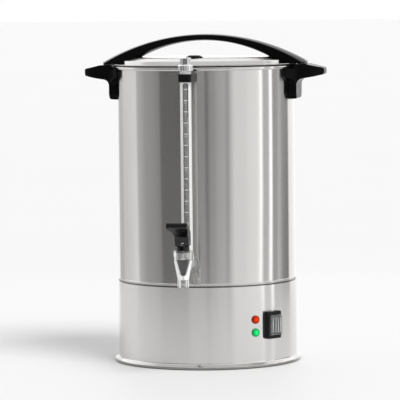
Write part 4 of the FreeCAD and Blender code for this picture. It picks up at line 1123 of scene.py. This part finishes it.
@dataclass
class Tank(Assembly):
    """Wall with a rolled rim, floor with the pump's well, and the weld at the back. Sizes in mm."""

    label = "tank"
    finishes = {"tank_floor": INNER_STEEL}
    wall: Turned = Turned(
        "tank_wall",
        (
            (124.2, 116.7),
            (125.5, 116.7, 0.4),
            (125.5, 118.3, 0.4),
            (125.0, 119.1),
            (125.0, 412.1, 0.4),
            (129.3, 412.1, 2.0),
            (129.3, 417.0, 2.0),
            (124.2, 417.0, 1.2),
        ),
    )
    radius: float = 125.0
    weld_heights: tuple[float, float] = (119.6, 411.4)
    weld_width: float = 2.6
    weld_thickness: float = 0.12
    weld_ripple: float = 1.3
    weld_bow: float = 3.0
    weld_sunk: float = 0.05
    weld_skin: float = 0.06
    weld_points: tuple[int, int] = (7, 900)

    def make(self) -> list[str]:
        """Turns the wall and lays the weld on it.

        Returns:
            The names of the pieces.
        """
        wall = self.wall.piece(BRUSHED)
        settle(wall, Body.URN, Slot.STEEL, "tank_shell")
        weld = self.weld_line()
        settle(weld, Body.URN, Slot.STEEL)
        return [wall.name, weld.name]

    def weld_line(self) -> bpy.types.Object:
        """Makes the planished weld, a low band with the ripple of its beads.

        Returns:
            The piece.
        """
        tree = Tree("weld_line")
        low, high = self.weld_heights
        width = tree.size("Width", self.weld_width * MM)
        length = tree.size("Length", (high - low) * MM)
        band = tree.grid(width, length, *self.weld_points)
        band = tree.moved(band, (0.0, (low + high) / 2 * MM, 0.0))
        across, upward, _ = tree.axes()
        across = across / width
        ripple = tree.size("Ripple", self.weld_ripple * MM)
        bowed = upward / ripple - across * across * self.weld_bow
        beads = (bowed * math.tau).maths("SINE") * 0.5 + 0.5
        profile = 1.0 - across * across * 4.0  # across runs from -0.5 to 0.5
        height = profile * (0.5 + beads * 0.5) * tree.size("Rise", self.weld_thickness * MM)
        lifted = tree.add("ShaderNodeCombineXYZ", sockets={2: height}).outputs[0]
        band = tree.shape("SetPosition", sockets={"Geometry": band, "Offset": lifted})
        radius = (self.radius - self.weld_sunk) * MM
        wrapped = tree.wrapped(band, -TAP_BEARING, (0.0, 0.0), radius, self.weld_skin * MM)
        return tree.grow("weld_line", wrapped, WELD)


@dataclass
class Base(Assembly):
    """Skirt with a flared foot, cover, brackets and the ring under the foot. Sizes in mm."""

    label = "base"
    finishes = {
        "base_cover": INNER_STEEL,
        "cover_brackets": INNER_STEEL,
        "cover_screws": NICKEL,
        "foot_ring": RUBBER,
    }
    skirt: Turned = Turned(
        "skirt_wall",
        (
            (124.3, 115.3),
            (126.0, 115.3, 0.6),
            (126.0, 7.2, 2.4),
            (131.3, 4.2, 1.0),
            (131.3, 1.0),
            (130.5, 1.0),
            (130.5, 3.7, 0.3),
            (125.2, 6.7, 1.6),
            (125.2, 114.5),
            (124.3, 114.5),
        ),
    )

    def make(self) -> list[str]:
        """Turns the skirt.

        Returns:
            The names of the pieces.
        """
        skirt = self.skirt.piece(LIT_AND_SHADED_SKIRT_STEEL)
        settle(skirt, Body.URN, Slot.STEEL, "base_skirt")
        return [skirt.name]


@dataclass
class Lid(Assembly):
    """Lid pan with its seal, the arched handle across it and the steam vent. Sizes in mm."""

    label = "lid"
    finishes = {
        "lid_seal": SILICONE,
        "arch_handle": ARCH_BLACK,
        "arch_screws": NICKEL,
        "steam_vent": ARCH_BLACK,
        "vent_nut": NICKEL,
    }
    pan: Turned = Turned(
        "lid_sheet",
        (
            (0.0, 428.7),
            (100.0, 428.7, 30.0),
            (116.8, 424.2, 1.8),
            (118.4, 419.5, 0.8),
            (131.2, 419.5, 0.55),
            (131.2, 418.3, 0.55),
            (128.7, 418.3),
            (128.4, 418.6),
            (121.6, 418.6),
            (121.6, 409.0, 0.3),
            (120.7, 409.0, 0.3),
            (120.7, 418.6),
            (117.76, 418.6, 1.7),
            (116.1, 423.46, 0.9),
            (99.88, 427.8, 29.1),
            (0.0, 427.8),
        ),
    )

    def make(self) -> list[str]:
        """Turns the pan.

        Returns:
            The names of the pieces.
        """
        pan = self.pan.piece(SHADED_LID_STEEL)
        settle(pan, Body.LID, Slot.STEEL, "lid_pan")
        return [pan.name]


@dataclass
class SideHandles(Assembly):
    """The two handles on the tank's wall, with their screws."""

    label = "side handles"
    finishes = {
        "side_handle_right": HANDLE_BLACK,
        "side_handle_left": HANDLE_BLACK,
        "handle_screws": NICKEL,
        "handle_washers": NICKEL,
    }


@dataclass
class Gauge(Assembly):
    """Sight gauge: tube, shield, printed film, bracket and cap. Sizes in mm."""

    label = "gauge"
    finishes = {
        "gauge_tube": GLASS,
        "gauge_shield": SHIELD,
        "gauge_scale": FILM,
        "gauge_seal": SILICONE,
        "gauge_clip": SATIN_BLACK,
        "clip_screw": NICKEL,
        "clip_washer": NICKEL,
        "gauge_cap": BRIGHT,
    }
    axis_y: float = -159.5
    film_radius: float = 5.72
    turn: float = 8.0
    ink: float = 0.05
    top_mark: float = 388.0
    pitch: float = 15.19
    marks: int = 14
    mark_size: tuple[float, float] = (5.4, 1.5)
    mark_points: tuple[int, int] = (9, 2)
    figures: tuple[str, ...] = ("75", "60", "45", "30", "15")
    figures_from: int = 1
    figure_step: int = 3
    figure_size: float = 3.4
    figure_shift: float = -0.6
    figure_drop: float = 3.4
    line_width: float = 0.5
    line_across: float = 2.35
    line_heights: tuple[float, float] = (186.0, 350.0)
    line_points: tuple[int, int] = (2, 2)

    def make(self) -> list[str]:
        """Prints the marks, figures and line on the film.

        Returns:
            The names of the pieces.
        """
        printed = self.printed_marks()
        settle(printed, Body.URN, Slot.FILM)
        return [printed.name]

    def printed_marks(self) -> bpy.types.Object:
        """Makes a mark every five cups, a figure at every third mark, and the line beside them.

        Returns:
            The piece.
        """
        tree = Tree("printed_marks")
        width, height = self.mark_size
        sides = (tree.size("Mark width", width * MM), tree.size("Mark height", height * MM))
        mark = tree.grid(*sides, *self.mark_points)
        pitch = tree.size("Pitch", self.pitch * MM)
        step = tree.add("ShaderNodeCombineXYZ", sockets={1: pitch * -1.0}).outputs[0]
        count = tree.size("Marks", self.marks, "Int")
        first = (0.0, self.top_mark * MM, 0.0)
        sockets = {"Count": count, "Start Location": first, "Offset": step}
        places = tree.shape("MeshLine", sockets=sockets)
        marks = tree.shape("InstanceOnPoints", sockets={"Points": places, "Instance": mark})
        low, high = self.line_heights
        line = tree.grid(self.line_width * MM, (high - low) * MM, *self.line_points)
        parts = [marks, tree.moved(line, (self.line_across * MM, (low + high) / 2 * MM, 0.0))]
        size = tree.size("Figure size", self.figure_size * MM)
        font = bpy.data.curves.new("figures", "FONT").font
        settings = {"font": font, "align_x": "CENTER", "align_y": "MIDDLE"}
        for number, text in enumerate(self.figures):
            sockets = {"String": tree.size("Figure " + text, text, "String"), "Size": size}
            letters = tree.shape("StringToCurves", settings, sockets)
            filled = tree.shape("FillCurve", sockets={0: letters})
            marks_down = self.figures_from + self.figure_step * number
            height = self.top_mark - self.pitch * marks_down - self.figure_drop
            parts.append(tree.moved(filled, (self.figure_shift * MM, height * MM, 0.0)))
        joined = tree.shape("JoinGeometry", sockets={0: parts})
        flat = tree.shape("RealizeInstances", sockets={0: joined})
        centre = (0.0, self.axis_y * MM)
        turn, radius = TAP_BEARING + self.turn, self.film_radius * MM
        wrapped = tree.wrapped(flat, turn, centre, radius, self.ink * MM)
        return tree.grow("printed_marks", wrapped, INK)


@dataclass
class Tap(Assembly):
    """Lever tap: shank, body, plug on its stem, spring, bonnet and lever. Sizes in mm."""

    label = "tap"
    finishes = {
        "tap_shank": SHANK,
        "shank_washers": PALE_SILICONE,
        "shank_nut": NICKEL,
        "tap_body": TAP_CLEAR,
        "tap_bonnet": BLACK,
        "seat_cup": PLUG,
        "tap_stem": BRIGHT,
        "tap_lever": BLACK,
        "lever_pin": BRIGHT,
    }
    axis_y: float = -193.0
    spring_heights: tuple[float, float] = (161.0, 168.6)
    spring_radius: float = 2.6
    spring_turns: float = 4.5
    wire_radius: float = 0.35
    lift: float = 3.8
    coil_steps: int = 32
    wire_steps: int = 12

    def make(self) -> list[str]:
        """Winds the spring, and lets it shorten as the stem lifts.

        Returns:
            The names of the pieces.
        """
        spring = self.spring()
        settle(spring, Body.URN, Slot.NICKEL, "tap_spring")
        low, high = self.spring_heights
        low, high = low - self.wire_radius, high + self.wire_radius
        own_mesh(spring)
        return [spring.name]

    def spring(self) -> bpy.types.Object:
        """Winds the coil round the stem.

        Returns:
            The piece.
        """
        tree = Tree("stem_spring")
        low, high = self.spring_heights
        radius = tree.size("Coil radius", self.spring_radius * MM)
        sockets = {
            "Resolution": self.coil_steps,
            "Rotations": tree.size("Turns", self.spring_turns),
            "Start Radius": radius,
            "End Radius": radius,
            "Height": tree.size("Height", (high - low) * MM),
        }
        coil = tree.shape("CurveSpiral", sockets=sockets)
        radius = tree.size("Wire radius", self.wire_radius * MM)
        sockets = {"Resolution": self.wire_steps, "Radius": radius}
        wire = tree.shape("CurvePrimitiveCircle", sockets=sockets)
        sockets = {"Curve": coil, "Profile Curve": wire, "Fill Caps": True}
        wound = tree.shape("CurveToMesh", sockets=sockets)
        raised = tree.moved(wound, (0.0, self.axis_y * MM, low * MM))
        return tree.grow("stem_spring", raised, NICKEL)


@dataclass
class Lamps(Assembly):
    """Red lamp above the green one. Sizes in mm, bearing in degrees.

    Each lamp's two colours are those at the edge and at the middle of its lens.
    """

    label = "lamps"
    finishes = {"pilot_bodies": GREY, "pilot_nuts": GREY}
    bearing: float = -48.75
    reach: float = 129.4
    heights: tuple[float, float] = (67.0, 49.0)
    red: tuple[Colour, Colour] = ((0.20, 0.012, 0.002), (0.64, 0.032, 0.002))
    green: tuple[Colour, Colour] = ((0.006, 0.22, 0.06), (0.008, 0.66, 0.15))

    def dressing(self) -> dict[str, Finish]:
        """Lets each lens glow about its own middle.

        Returns:
            The finish of each node.
        """
        above, below = (self.middle(height) for height in self.heights)
        lenses = {
            "pilot_lens_red": Glowing("red_lens", above, *self.red),
            "pilot_lens_green": Glowing("green_lens", below, *self.green),
        }
        return {**lenses, **self.finishes}

    def middle(self, height: float) -> tuple[float, float, float]:
        """Finds the middle of a lens.

        Args:
            height: the lens's height, in mm.

        Returns:
            The point, in metres.
        """
        bearing = math.radians(self.bearing)
        along, away = self.reach * math.cos(bearing), self.reach * math.sin(bearing)
        return (along * MM, away * MM, height * MM)


@dataclass
class Switch(Assembly):
    """Rocker switch in its deep bezel, under the clear ribbed cap."""

    label = "switch"
    finishes = {
        "switch_frame": SATIN_BLACK,
        "switch_body": BLACK,
        "switch_terminals": NICKEL,
        "switch_rocker": BLACK,
        "splash_cap": VINYL,
    }


@dataclass
class MainsInlet(Assembly):
    """Inlet for the mains lead at the back."""

    label = "mains inlet"
    finishes = {
        "power_inlet": BLACK,
        "inlet_pins": NICKEL,
        "inlet_screws": NICKEL,
        "inlet_nuts": NICKEL,
    }


@dataclass
class Percolator(Assembly):
    """Pump tube, coffee basket and spreader plate."""

    label = "percolator"
    finishes = {
        "percolator_stem": POLISHED,
        "coffee_basket": INNER_STEEL,
        "basket_cover": INNER_STEEL,
    }


@dataclass
class Heater(Assembly):
    """Heating ring with its clamps, the two thermostats and the wiring."""

    label = "heater"
    finishes = {
        "heater_ring": SHEATH,
        "heater_clamps": NICKEL,
        "clamp_nuts": NICKEL,
        "thermostat": NICKEL,
        "thermal_cutout": NICKEL,
        "terminal_block": GREY,
        "wiring": WIRE,
    }


ASSEMBLIES = (
    Tank,
    Base,
    Lid,
    SideHandles,
    Gauge,
    Tap,
    Lamps,
    Switch,
    MainsInlet,
    Percolator,
    Heater,
)


def main() -> None:
    """Builds the studio and the urn, and reports each piece."""
    logging.basicConfig(level=logging.INFO, format="%(message)s")
    Studio().build()
    for assembly in ASSEMBLIES:
        assembly().build()
    bpy.context.view_layer.update()


if __name__ == "__main__":
    main()
